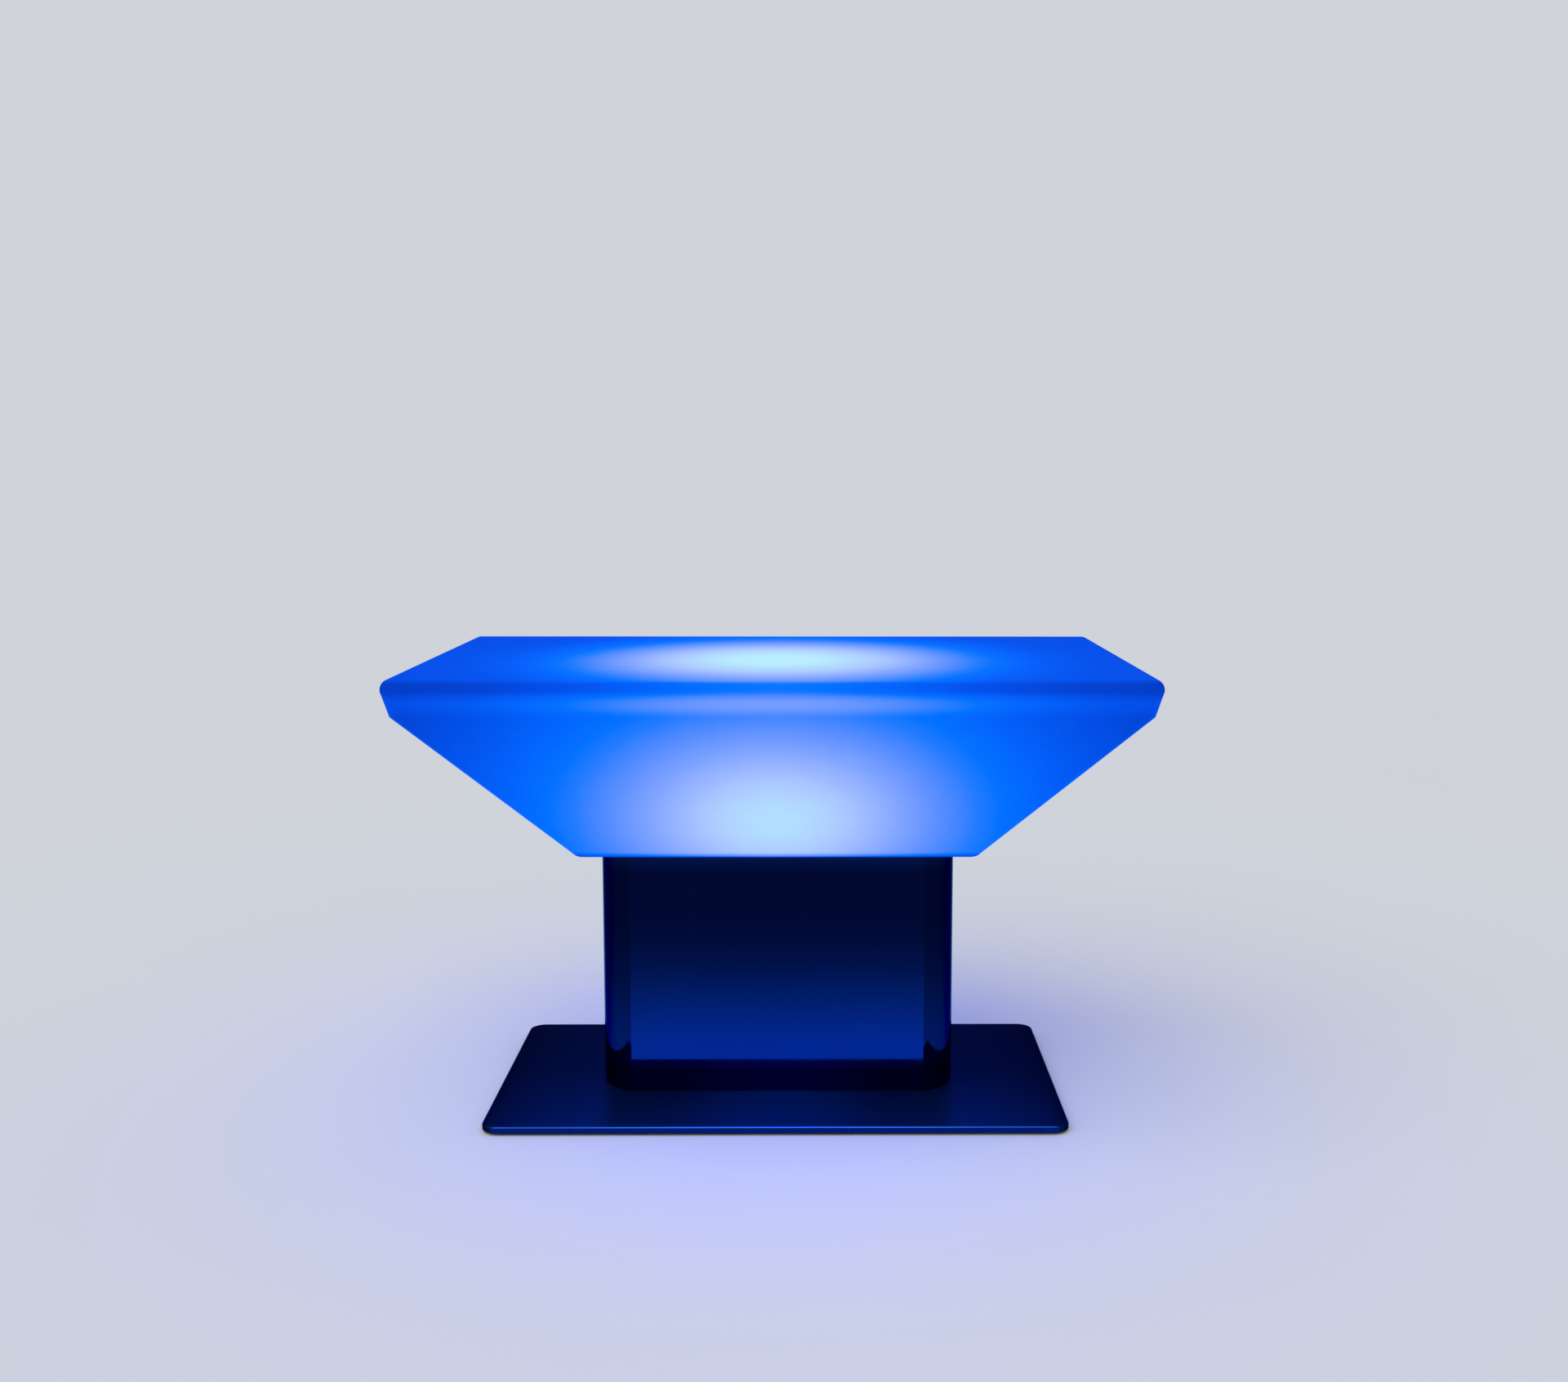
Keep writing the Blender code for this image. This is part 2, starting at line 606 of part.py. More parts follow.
def make_top():
    """The hollow plastic top with its bosses, brass inserts, gasket and flanged bolts."""
    unit = new_unit("top_unit", (0, 0, BODY_BOTTOM))
    body = new_piece("light_body", loft(body_rings()), GLOWING_PLASTIC, unit)
    give_wall(body, TOP_WALL)
    boss = post(BOSS_RADIUS, BOSS_HEIGHT + TOP_WALL / 2, TOP_WALL / 2, steps=ROUND_STEPS // 2)
    join(body, copies(boss, bolt_places()))
    cut(body, post(LIGHT_OPENING_RADIUS, TOP_WALL + 2 * OVERRUN, -OVERRUN, steps=ROUND_STEPS))
    seat = post(INSERT_RADIUS + GAP, INSERT_HEIGHT + GAP + OVERRUN, -OVERRUN)
    cut(body, copies(seat, bolt_places()))

    insert = turned([(BOLT_RADIUS + GAP, INSERT_HEIGHT), (INSERT_RADIUS, INSERT_HEIGHT),
                     (INSERT_RADIUS, 0), (BOLT_RADIUS + GAP, 0)], SMALL_ROUND_STEPS)
    repeat_piece("body_insert", insert, BRASS, unit, bolt_places())

    gasket_bottom = -GAP - GASKET_THICKNESS
    gasket = new_piece("body_gasket", column_slab(GASKET_INSET, GASKET_THICKNESS), BLACK_RUBBER, unit,
                       (0, 0, gasket_bottom))
    through = GASKET_THICKNESS + 2 * OVERRUN
    cut(gasket, post(LIGHT_OPENING_RADIUS, through, -OVERRUN, steps=ROUND_STEPS))
    cut(gasket, copies(post(BOLT_RADIUS + GAP, through, -OVERRUN), bolt_places()))

    bolt_seat = gasket_bottom - GAP - HEAD_FLANGE_THICKNESS - GAP
    bolt = turned([(0, BOLT_LENGTH), (BOLT_RADIUS, BOLT_LENGTH), (BOLT_RADIUS, 0),
                   (BOLT_FLANGE_RADIUS, 0), (BOLT_FLANGE_RADIUS, -BOLT_FLANGE_THICKNESS),
                   (BOLT_HEAD_RADIUS, -BOLT_FLANGE_THICKNESS), (BOLT_HEAD_RADIUS, -BOLT_HEAD_HEIGHT),
                   (0, -BOLT_HEAD_HEIGHT)], SMALL_ROUND_STEPS)
    repeat_piece("body_bolt", bolt, ZINC_STEEL, unit, bolt_places(), bolt_seat)


def make_light():
    """The light unit on the head flange: heatsink, board, chips, opal dome and its ring."""
    unit = new_unit("light_unit", (0, 0, COLUMN_TOP))
    board_screws = around(BOARD_SCREW_CIRCLE, 2)
    fin_radius = FIN_WINDOW_RADIUS - FIN_WINDOW_CLEARANCE
    sink_top = GAP + HEATSINK_THICKNESS
    sink = new_piece("led_heatsink", turned(
        [(0, sink_top), (HEATSINK_RADIUS, sink_top), (HEATSINK_RADIUS, GAP), (fin_radius, GAP),
         (fin_radius, GAP - FIN_LENGTH), (0, GAP - FIN_LENGTH)]), CAST_ALUMINIUM, unit)
    slot_count = int(2 * fin_radius / FIN_PITCH)
    slot = block(2 * fin_radius + 2 * OVERRUN, FIN_PITCH - FIN_THICKNESS, FIN_LENGTH - FIN_ROOT + OVERRUN,
                 low=GAP - FIN_LENGTH - OVERRUN)
    middle = (slot_count - 1) / 2
    cut(sink, copies(slot, [(0, FIN_PITCH * (index - middle)) for index in range(slot_count)]))
    grommet_room = GROMMET_FLANGE_RADIUS + GAP
    cut(sink, turned([(0, sink_top + OVERRUN), (GROMMET_RADIUS + GAP, sink_top + OVERRUN),
                      (GROMMET_RADIUS + GAP, GAP), (grommet_room, GAP),
                      (grommet_room, GAP - FIN_LENGTH - OVERRUN), (0, GAP - FIN_LENGTH - OVERRUN)],
                     SMALL_ROUND_STEPS))
    tapped = post(PAN_SCREW_RADIUS + GAP, sink_top + 2 * OVERRUN, -OVERRUN)
    cut(sink, copies(tapped, dome_screw_places() + board_screws))

    grommet = turned([(LEAD_RADIUS + GAP, sink_top), (GROMMET_RADIUS, sink_top), (GROMMET_RADIUS, 0),
                      (GROMMET_FLANGE_RADIUS, 0), (GROMMET_FLANGE_RADIUS, -GROMMET_FLANGE_THICKNESS),
                      (LEAD_RADIUS + GAP, -GROMMET_FLANGE_THICKNESS)], SMALL_ROUND_STEPS)
    new_piece("cable_grommet", grommet, BLACK_RUBBER, unit)

    board_low = sink_top + GAP
    board_top = board_low + BOARD_THICKNESS
    board = new_piece("led_board", post(BOARD_RADIUS, BOARD_THICKNESS, board_low, steps=ROUND_STEPS),
                      WHITE_BOARD, unit)
    cut(board, copies(post(PAN_SCREW_RADIUS + GAP, BOARD_THICKNESS + 2 * OVERRUN, board_low - OVERRUN),
                      board_screws))
    chip = block(CHIP_SIZE, CHIP_SIZE, CHIP_HEIGHT + BOARD_THICKNESS / 2, low=board_top - BOARD_THICKNESS / 2)
    chips = around(CHIP_INNER_CIRCLE, INNER_CHIPS) + around(CHIP_OUTER_CIRCLE, OUTER_CHIPS)
    join(board, copies(chip, chips))
    repeat_piece("led_board_screw", pan_screw(BOARD_SCREW_LENGTH), ZINC_STEEL, unit, board_screws,
                 board_top + GAP)

    dome_flange = DOME_RADIUS + DOME_FLANGE_BREADTH
    turn_angles = [pi / 2 * step / DOME_STEPS for step in range(DOME_STEPS)]
    outside = [(DOME_RADIUS * sin(a), DOME_WALL + (DOME_HEIGHT - DOME_WALL) * cos(a)) for a in turn_angles]
    inside = [((DOME_RADIUS - DOME_WALL) * sin(a), (DOME_HEIGHT - DOME_WALL) * cos(a))
              for a in turn_angles]
    dome = turned(outside + [(DOME_RADIUS, DOME_WALL), (dome_flange, DOME_WALL), (dome_flange, 0),
                             (DOME_RADIUS - DOME_WALL, 0)] + inside[::-1])
    new_piece("led_dome", dome, OPAL_PLASTIC, unit, (0, 0, board_low))
    lip_low = DOME_WALL + GAP
    ring_top = lip_low + RING_LIP
    ring = new_piece("dome_ring", turned(
        [(DOME_RADIUS + GAP, ring_top), (HEATSINK_RADIUS, ring_top), (HEATSINK_RADIUS, 0),
         (dome_flange + GAP, 0), (dome_flange + GAP, lip_low), (DOME_RADIUS + GAP, lip_low)]),
        CAST_ALUMINIUM, unit, (0, 0, board_low))
    cut(ring, copies(post(PAN_SCREW_RADIUS + GAP, ring_top + 2 * OVERRUN, -OVERRUN),
                     dome_screw_places()))
    repeat_piece("dome_screw", pan_screw(DOME_SCREW_LENGTH), ZINC_STEEL, unit, dome_screw_places(),
                 board_low + ring_top + GAP)


def make_battery():
    """The pan, foam pad, pack and bent clamp on the base plate, inside the column."""
    unit = new_unit("battery_unit", (0, 0, PLATE_TOP))
    tray = new_piece("battery_tray", open_top(block(TRAY_LENGTH, TRAY_WIDTH, TRAY_HEIGHT,
                                                    TRAY_CORNER_RADIUS)),
                     MILL_STEEL, unit, (TRAY_X, 0, GAP))
    give_wall(tray, TRAY_WALL)

    pad_low = TRAY_WALL + 2 * GAP
    pad_length = TRAY_LENGTH - 2 * TRAY_WALL - 2 * GAP
    pad_width = TRAY_WIDTH - 2 * TRAY_WALL - 2 * GAP
    new_piece("battery_pad", block(pad_length, pad_width, PAD_THICKNESS, TRAY_CORNER_RADIUS - TRAY_WALL),
              GREY_FOAM, unit, (TRAY_X, 0, pad_low))

    pack_low = pad_low + PAD_THICKNESS + GAP
    pack = block(pad_length - 2 * PACK_CLEARANCE, pad_width - 2 * PACK_CLEARANCE, PACK_HEIGHT,
                 PACK_EDGE_RADIUS, EDGE_STEPS)
    round_rim(pack, PACK_EDGE_RADIUS / 2, EDGE_STEPS - 1, bottom=True)
    new_piece("battery_pack", pack, PACK_WRAP, unit, (TRAY_X, 0, pack_low))

    side = TRAY_WIDTH / 2 + GAP
    outline = [(-side - CLAMP_THICKNESS - CLAMP_FOOT, 0), (-side, 0), (-side, pack_low + PACK_HEIGHT),
               (side, pack_low + PACK_HEIGHT), (side, 0), (side + CLAMP_THICKNESS + CLAMP_FOOT, 0)]
    strip = bmesh.new()
    rows = [[strip.verts.new((x, y, z)) for y, z in outline]
            for x in (-CLAMP_BREADTH / 2, CLAMP_BREADTH / 2)]
    for index in range(len(outline) - 1):
        strip.faces.new((rows[0][index], rows[1][index], rows[1][index + 1], rows[0][index + 1]))
    clamp = new_piece("battery_clamp", strip, MILL_STEEL, unit, (TRAY_X, 0, GAP))
    give_wall(clamp, -CLAMP_THICKNESS)
    feet = [(x - TRAY_X, y) for x, y in clamp_screw_places()]
    cut(clamp, copies(post(PAN_SCREW_RADIUS + GAP, CLAMP_THICKNESS + 2 * OVERRUN, -OVERRUN), feet))
    repeat_piece("clamp_screw", pan_screw(CLAMP_SCREW_LENGTH), ZINC_STEEL, unit, clamp_screw_places(),
                 CLAMP_THICKNESS + 2 * GAP)
    lead("battery_lead", unit,
         (TRAY_X + pad_length / 2 - PACK_CLEARANCE + GAP, 0, PACK_LEAD_HEIGHT), (1, 0, 0),
         (CONTROLLER_X - CONTROLLER_LENGTH / 2 - GAP, 0, BOX_LEAD_HEIGHT), (1, 0, 0), LEAD_RADIUS)


def make_controller():
    """The colour controller: box with ears, pillars and posts, circuit board, lid with glands."""
    unit = new_unit("controller_unit", (CONTROLLER_X, 0, PLATE_TOP + GAP))
    box = new_piece("controller_box", open_top(block(CONTROLLER_LENGTH, CONTROLLER_WIDTH,
                                                     CONTROLLER_HEIGHT, CONTROLLER_CORNER_RADIUS)),
                    BLACK_PLASTIC, unit)
    give_wall(box, CONTROLLER_WALL)
    pillar_places = four(CONTROLLER_LENGTH / 2 - CONTROLLER_WALL - PILLAR_RADIUS,
                         CONTROLLER_WIDTH / 2 - CONTROLLER_WALL - PILLAR_RADIUS)
    circuit_length = CONTROLLER_LENGTH - 2 * (CONTROLLER_WALL + 2 * PILLAR_RADIUS + CIRCUIT_CLEARANCE)
    circuit_width = CONTROLLER_WIDTH - 2 * (CONTROLLER_WALL + CIRCUIT_CLEARANCE)
    post_places = four(circuit_length / 2 - POST_RADIUS, circuit_width / 2 - POST_RADIUS)
    half_wall = CONTROLLER_WALL / 2
    join(box, copies(post(PILLAR_RADIUS, CONTROLLER_HEIGHT - half_wall, half_wall), pillar_places))
    join(box, copies(post(POST_RADIUS, POST_HEIGHT + half_wall, half_wall), post_places))
    reach = CONTROLLER_LENGTH / 2 + EAR_LENGTH / 2
    ear = block(EAR_LENGTH + CONTROLLER_WALL, EAR_WIDTH, EAR_THICKNESS)
    join(box, copies(ear, [(reach - half_wall, 0), (half_wall - reach, 0)]))
    screw_deep = LID_SCREW_LENGTH
    cut(box, copies(post(PAN_SCREW_RADIUS + GAP, screw_deep + OVERRUN, CONTROLLER_HEIGHT - screw_deep),
                    pillar_places))
    cut(box, copies(post(PAN_SCREW_RADIUS + GAP, EAR_THICKNESS + 2 * OVERRUN, -OVERRUN),
                    [(reach, 0), (-reach, 0)]))
    repeat_piece("controller_screw", pan_screw(EAR_SCREW_LENGTH), ZINC_STEEL, unit,
                 [(reach, 0), (-reach, 0)], EAR_THICKNESS + GAP)
    new_piece("controller_board", block(circuit_length, circuit_width, BOARD_THICKNESS), GREEN_BOARD,
              unit, (0, 0, CONTROLLER_WALL + POST_HEIGHT + GAP))

    lid_low = CONTROLLER_HEIGHT + GAP
    cover = block(CONTROLLER_LENGTH, CONTROLLER_WIDTH, LID_THICKNESS, CONTROLLER_CORNER_RADIUS)
    lid = new_piece("controller_lid", round_rim(cover, LID_EDGE_RADIUS, EDGE_STEPS - 1), BLACK_PLASTIC,
                    unit, (0, 0, lid_low))
    glands = [(x - CONTROLLER_X, y) for x, y in gland_places()]
    join(lid, copies(post(GLAND_RADIUS, GLAND_HEIGHT + LID_THICKNESS / 2, LID_THICKNESS / 2), glands))
    cut(lid, copies(post(PAN_SCREW_RADIUS + GAP, LID_THICKNESS + 2 * OVERRUN, -OVERRUN), pillar_places))
    repeat_piece("lid_screw", pan_screw(LID_SCREW_LENGTH), ZINC_STEEL, unit, pillar_places,
                 lid_low + LID_THICKNESS + GAP)


def make_nut(name, unit, thread_radius):
    """A thin hexagonal nut against the inside of the column's wall."""
    low = -COLUMN_WALL - GAP - NUT_THICKNESS
    nut = new_piece(name, post(NUT_RADIUS, NUT_THICKNESS, low, steps=6), ZINC_STEEL, unit)
    cut(nut, post(thread_radius + GAP, NUT_THICKNESS + 2 * OVERRUN, low - OVERRUN,
                  steps=ROUND_STEPS // 2))


def make_button():
    """The push button: heights are out from the rear face of the column, along its own axis."""
    unit = new_unit("button_unit", (BUTTON_X, COLUMN_WIDTH / 2, PLATE_TOP + CONTROL_HEIGHT),
                    (-pi / 2, 0, 0))
    face = GAP + BUSHING_FLANGE_THICKNESS
    cap_room = BUTTON_RADIUS + GAP
    stem_room = BUTTON_STEM_RADIUS + GAP
    lip_low = -BUSHING_LIP_DEPTH - BUSHING_LIP_THICKNESS
    clip_room = CLIP_RADIUS + 2 * GAP
    bushing = turned([(cap_room, face), (BUSHING_FLANGE_RADIUS - BUTTON_CHAMFER, face),
                      (BUSHING_FLANGE_RADIUS, face - BUTTON_CHAMFER), (BUSHING_FLANGE_RADIUS, GAP),
                      (BUSHING_RADIUS, GAP), (BUSHING_RADIUS, -BUSHING_LENGTH),
                      (clip_room, -BUSHING_LENGTH), (clip_room, lip_low), (stem_room, lip_low),
                      (stem_room, -BUSHING_LIP_DEPTH), (cap_room, -BUSHING_LIP_DEPTH)])
    new_piece("button_bushing", bushing, POLISHED_STEEL, unit)
    make_nut("button_nut", unit, BUSHING_RADIUS)

    cap_top = face + BUTTON_PROUD
    cap_low = cap_top - BUTTON_CAP_DEPTH
    clip_top = lip_low - GAP
    clip_low = clip_top - CLIP_THICKNESS
    groove = BUTTON_STEM_RADIUS - CLIP_GROOVE_DEPTH
    stem_end = -BUSHING_LENGTH - GAP - BUTTON_STEM_REACH
    button = turned([(0, cap_top - BUTTON_DISH), (BUTTON_RADIUS / 2, cap_top - BUTTON_DISH),
                     (BUTTON_RADIUS - 2 * BUTTON_CHAMFER, cap_top),
                     (BUTTON_RADIUS - BUTTON_CHAMFER, cap_top), (BUTTON_RADIUS, cap_top - BUTTON_CHAMFER),
                     (BUTTON_RADIUS, cap_low), (BUTTON_STEM_RADIUS, cap_low),
                     (BUTTON_STEM_RADIUS, clip_top + GAP), (groove, clip_top + GAP),
                     (groove, clip_low - GAP), (BUTTON_STEM_RADIUS, clip_low - GAP),
                     (BUTTON_STEM_RADIUS, stem_end), (0, stem_end)])
    new_piece("power_button", button, BRUSHED_BUTTON, unit)
    clip = turned([(groove + GAP, clip_top), (CLIP_RADIUS, clip_top), (CLIP_RADIUS, clip_low),
                   (groove + GAP, clip_low)], SMALL_ROUND_STEPS)
    new_piece("button_clip", clip, ZINC_STEEL, unit)
    make_spring(unit, -BUSHING_LIP_DEPTH, cap_low)

    switch_top = -BUSHING_LENGTH - GAP
    switch_low = switch_top - SWITCH_LENGTH
    well = switch_top - SWITCH_WELL_DEPTH
    switch = turned([(stem_room, switch_top), (SWITCH_RADIUS, switch_top), (SWITCH_RADIUS, switch_low),
                     (0, switch_low), (0, well), (stem_room, well)], ROUND_STEPS // 2)
    new_piece("switch_module", switch, BLACK_PLASTIC, unit)


def make_spring(unit, low, high):
    """The coil spring between the bushing's lip and the cap: a helix, one unbroken wire."""
    wire_low = low + GAP + SPRING_WIRE_RADIUS
    wire_high = high - GAP - SPRING_WIRE_RADIUS
    count = SPRING_TURNS * SPRING_POINTS_PER_TURN + 1
    curve = bpy.data.curves.new("button_spring", "CURVE")
    curve.dimensions = "3D"
    curve.bevel_depth = SPRING_WIRE_RADIUS
    curve.bevel_resolution = 1
    curve.use_fill_caps = True
    spline = curve.splines.new("POLY")
    spline.points.add(count - 1)
    points = []
    for index, point in enumerate(spline.points):
        angle = 2 * pi * index / SPRING_POINTS_PER_TURN
        height = wire_low + (wire_high - wire_low) * index / (count - 1)
        points.append(Vector((SPRING_RADIUS * cos(angle), SPRING_RADIUS * sin(angle), height)))
        point.co = (*points[-1], 1)
    least = min((points[index + SPRING_POINTS_PER_TURN] - points[index]).length
                for index in range(count - SPRING_POINTS_PER_TURN)) - 2 * SPRING_WIRE_RADIUS
    print("button_spring: least gap between turns", round(least, 5), "m")
    curve.materials.append(ZINC_STEEL)
    spring = bpy.data.objects.new("button_spring", curve)
    spring.parent = unit
    PARTS.objects.link(spring)


def make_inlet():
    """The charging inlet: a cup with a middle pin, held by a nut behind the wall."""
    unit = new_unit("inlet_unit", (SOCKET_X, COLUMN_WIDTH / 2, PLATE_TOP + CONTROL_HEIGHT),
                    (-pi / 2, 0, 0))
    face = GAP + SOCKET_FLANGE_THICKNESS
    floor = face - SOCKET_CUP_DEPTH
    pin_top = floor + SOCKET_PIN_LENGTH
    socket = turned([(0, pin_top), (SOCKET_PIN_RADIUS, pin_top), (SOCKET_PIN_RADIUS, floor),
                     (SOCKET_CUP_RADIUS, floor), (SOCKET_CUP_RADIUS, face),
                     (SOCKET_FLANGE_RADIUS - BUTTON_CHAMFER, face),
                     (SOCKET_FLANGE_RADIUS, face - BUTTON_CHAMFER), (SOCKET_FLANGE_RADIUS, GAP),
                     (SOCKET_RADIUS, GAP), (SOCKET_RADIUS, -SOCKET_LENGTH), (0, -SOCKET_LENGTH)])
    new_piece("charge_socket", socket, BLACK_PLASTIC, unit)
    make_nut("socket_nut", unit, SOCKET_RADIUS)


def make_leads():
    """The leads from the controller's glands to the switch, the charging inlet and the light board."""
    unit = new_unit("lead_unit")
    gland_top = PLATE_TOP + GAP + CONTROLLER_HEIGHT + GAP + LID_THICKNESS + GLAND_HEIGHT + GAP
    control_z = PLATE_TOP + CONTROL_HEIGHT
    rear = COLUMN_WIDTH / 2
    switch_end = rear - BUSHING_LENGTH - GAP - SWITCH_LENGTH - GAP
    socket_end = rear - SOCKET_LENGTH - GAP
    switch_gland, charge_gland, light_gland = gland_places()
    lead("switch_lead", unit, (*switch_gland, gland_top), (0, 0, 1), (BUTTON_X, switch_end, control_z),
         (0, 1, 0), THIN_LEAD_RADIUS)
    lead("charge_lead", unit, (*charge_gland, gland_top), (0, 0, 1), (SOCKET_X, socket_end, control_z),
         (0, 1, 0), LEAD_RADIUS)
    board_low = COLUMN_TOP + GAP + HEATSINK_THICKNESS + GAP
    lead("led_lead", unit, (*light_gland, gland_top), (0, 0, 1), (0, 0, board_low - GAP), (0, 0, 1),
         LEAD_RADIUS)


for leftover in list(bpy.data.objects):
    bpy.data.objects.remove(leftover)
PARTS = new_collection("light_up_table")
CUTTERS = new_collection("cutters")

GLOWING_PLASTIC = new_material("glowing_plastic", (0.05, 0.22, 1.0), 0.35, 0)
POLISHED_STEEL = new_material("polished_steel", (0.50, 0.51, 0.53), 0.08, 1)
SATIN_STEEL = new_material("satin_steel", (0.40, 0.41, 0.43), 0.35, 1)
MILL_STEEL = new_material("mill_steel", (0.32, 0.32, 0.33), 0.55, 1)
ZINC_STEEL = new_material("zinc_steel", (0.60, 0.60, 0.58), 0.4, 1)
BRUSHED_BUTTON = new_material("brushed_button", (0.62, 0.63, 0.65), 0.3, 1)
CAST_ALUMINIUM = new_material("cast_aluminium", (0.70, 0.71, 0.72), 0.45, 1)
BRASS = new_material("brass", (0.72, 0.52, 0.22), 0.35, 1)
BLACK_RUBBER = new_material("black_rubber", (0.02, 0.02, 0.02), 0.8, 0)
BLACK_PLASTIC = new_material("black_plastic", (0.03, 0.03, 0.035), 0.5, 0)
BLACK_CABLE = new_material("black_cable", (0.02, 0.02, 0.022), 0.6, 0)
WHITE_BOARD = new_material("white_board", (0.85, 0.86, 0.86), 0.4, 0)
GREEN_BOARD = new_material("green_board", (0.02, 0.20, 0.08), 0.4, 0)
OPAL_PLASTIC = new_material("opal_plastic", (0.85, 0.88, 0.92), 0.45, 0)
GREY_FOAM = new_material("grey_foam", (0.10, 0.10, 0.11), 0.95, 0)
PACK_WRAP = new_material("pack_wrap", (0.02, 0.09, 0.30), 0.35, 0)

make_base()
make_column()
make_top()
make_light()
make_battery()
make_controller()
make_button()
make_inlet()
make_leads()
for piece in PARTS.objects:
    if piece.type == "MESH":
        piece.modifiers.new("Normals", "WEIGHTED_NORMAL").keep_sharp = True
bpy.context.view_layer.update()
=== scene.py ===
import json
import math

import bmesh
import bpy
import numpy as np
from mathutils import Matrix, Vector


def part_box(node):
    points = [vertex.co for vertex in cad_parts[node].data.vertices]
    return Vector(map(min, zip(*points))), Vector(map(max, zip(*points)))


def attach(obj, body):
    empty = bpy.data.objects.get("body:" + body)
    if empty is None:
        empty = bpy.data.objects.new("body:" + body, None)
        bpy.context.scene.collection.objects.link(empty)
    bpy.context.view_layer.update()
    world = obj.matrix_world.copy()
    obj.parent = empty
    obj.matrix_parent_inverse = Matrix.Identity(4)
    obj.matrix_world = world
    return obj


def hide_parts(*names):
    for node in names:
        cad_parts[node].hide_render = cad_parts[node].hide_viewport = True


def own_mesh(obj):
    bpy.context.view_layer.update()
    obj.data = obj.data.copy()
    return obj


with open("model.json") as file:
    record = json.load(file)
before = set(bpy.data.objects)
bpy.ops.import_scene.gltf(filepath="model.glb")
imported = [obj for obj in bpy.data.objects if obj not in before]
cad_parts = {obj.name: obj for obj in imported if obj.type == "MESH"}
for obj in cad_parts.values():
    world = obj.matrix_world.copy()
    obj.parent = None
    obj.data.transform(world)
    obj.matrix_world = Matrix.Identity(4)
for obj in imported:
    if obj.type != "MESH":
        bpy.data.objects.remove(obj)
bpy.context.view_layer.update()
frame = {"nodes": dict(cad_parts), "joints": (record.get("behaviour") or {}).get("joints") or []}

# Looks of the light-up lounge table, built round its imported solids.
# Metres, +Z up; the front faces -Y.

# Sizes of the glowing top
TOP_WALL = 0.005
RIM_HEIGHT = 0.0445
RIM_LEAN = 0.0120
TOP_CORNER_RADIUS = 0.0135
TOP_EDGE_RADIUS = 0.0125
CREASE_RADIUS = 0.005
UNDERSIDE_EDGE_RADIUS = 0.0125
UNDERSIDE_MARGIN = 0.0154           # least reach of the underside past the column
LIGHT_OPENING_RADIUS = 0.059
BOSS_RADIUS = 0.009
BOSS_HEIGHT = 0.016
INSERT_SEAT_RADIUS = 0.0055
INSERT_SEAT_DEPTH = 0.0143

# Sizes of the column, the plate and the glides
COLUMN_CORNER_RADIUS = 0.060
COLUMN_CORNER_REACH = 0.040         # from the end of the column to the crease in its long face
COLUMN_WALL = 0.002
COLUMN_EDGE_RADIUS = 0.0004
BUSHING_HOLE_RADIUS = 0.0083
SOCKET_HOLE_RADIUS = 0.0088
PLATE_CORNER_RADIUS = 0.021
PLATE_EDGE_RADIUS = 0.0025
PLATE_FOOT_CHAMFER = 0.0004
BASE_HOLE_RADIUS = 0.0033
BASE_SINK_RADIUS = 0.0063
BASE_SINK_LIP = 0.0003
BASE_SINK_DEPTH = 0.0036
TAPPED_RADIUS = 0.0018
TAPPED_DEPTH = 0.007
GLIDE_EDGE_RADIUS = 0.0006

# Sizes of the rear controls
CONTROL_GAP = 0.0003                # under the flanges of the collar and the inlet
COLLAR_BARREL_RADIUS = 0.008
COLLAR_CAP_ROOM = 0.0063
COLLAR_CLIP_ROOM = 0.0048
COLLAR_STEM_ROOM = 0.0028
COLLAR_LIP_DEPTH = 0.008            # from the face of the column to the lip inside
COLLAR_LIP_THICKNESS = 0.002
COLLAR_RIM_RADIUS = 0.0007
COLLAR_MOUTH_RADIUS = 0.0003
CAP_DEPTH = 0.0078
CAP_SHOULDER_RADIUS = 0.0006
CAP_RIM_BREADTH = 0.0011
CAP_DISH = 0.0005
STEM_RADIUS = 0.0025
STEM_GROOVE_RADIUS = 0.0019
STEM_GROOVE = (0.0103, 0.0113)      # its two faces, from the face of the column
SPRING_WIRE_RADIUS = 0.00025
SPRING_TURNS = 3
SPRING_END_SHARE = 0.3              # how much of the spring's rise is the smooth step
INLET_BARREL_RADIUS = 0.0085
INLET_CUP_RADIUS = 0.0068
INLET_CUP_DEPTH = 0.011
INLET_MOUTH_RADIUS = 0.0004
INLET_RIM_RADIUS = 0.0006
PIN_RADIUS = 0.0011
PIN_HEIGHT = 0.009
PIN_TIP_RADIUS = 0.0005

# Steps of the surfaces
ROUND_STEPS = 96
SMALL_ROUND_STEPS = 48
TOP_OUTLINE_STEPS = (66, 44, 16)    # a long side, an end and a corner
UNDERSIDE_EDGE_STEPS = 10
TAPER_STEPS = 44
CREASE_STEPS = 6
RIM_STEPS = 6
TOP_EDGE_STEPS = 14
FACE_STEPS = 40
INNER_STRIDE = 2
COLUMN_CORNER_STEPS = 28
COLUMN_END_STEPS = 8
COLUMN_FACE_STEPS = 24
COLUMN_EDGE_STEPS = 8
COLUMN_LEVELS = 9
PLATE_OUTLINE_STEPS = (30, 16, 24)
PLATE_EDGE_STEPS = 10
GLIDE_EDGE_STEPS = 4
CONTROL_RIM_STEPS = 5
CONTROL_MOUTH_STEPS = 3
PIN_TIP_STEPS = 4
DISH_STEPS = 6
WIRE_STEPS = 12
FLOOR_STEPS = 8
MERGE_DISTANCE = 0.0000015
SHARP_ANGLE = math.radians(32)
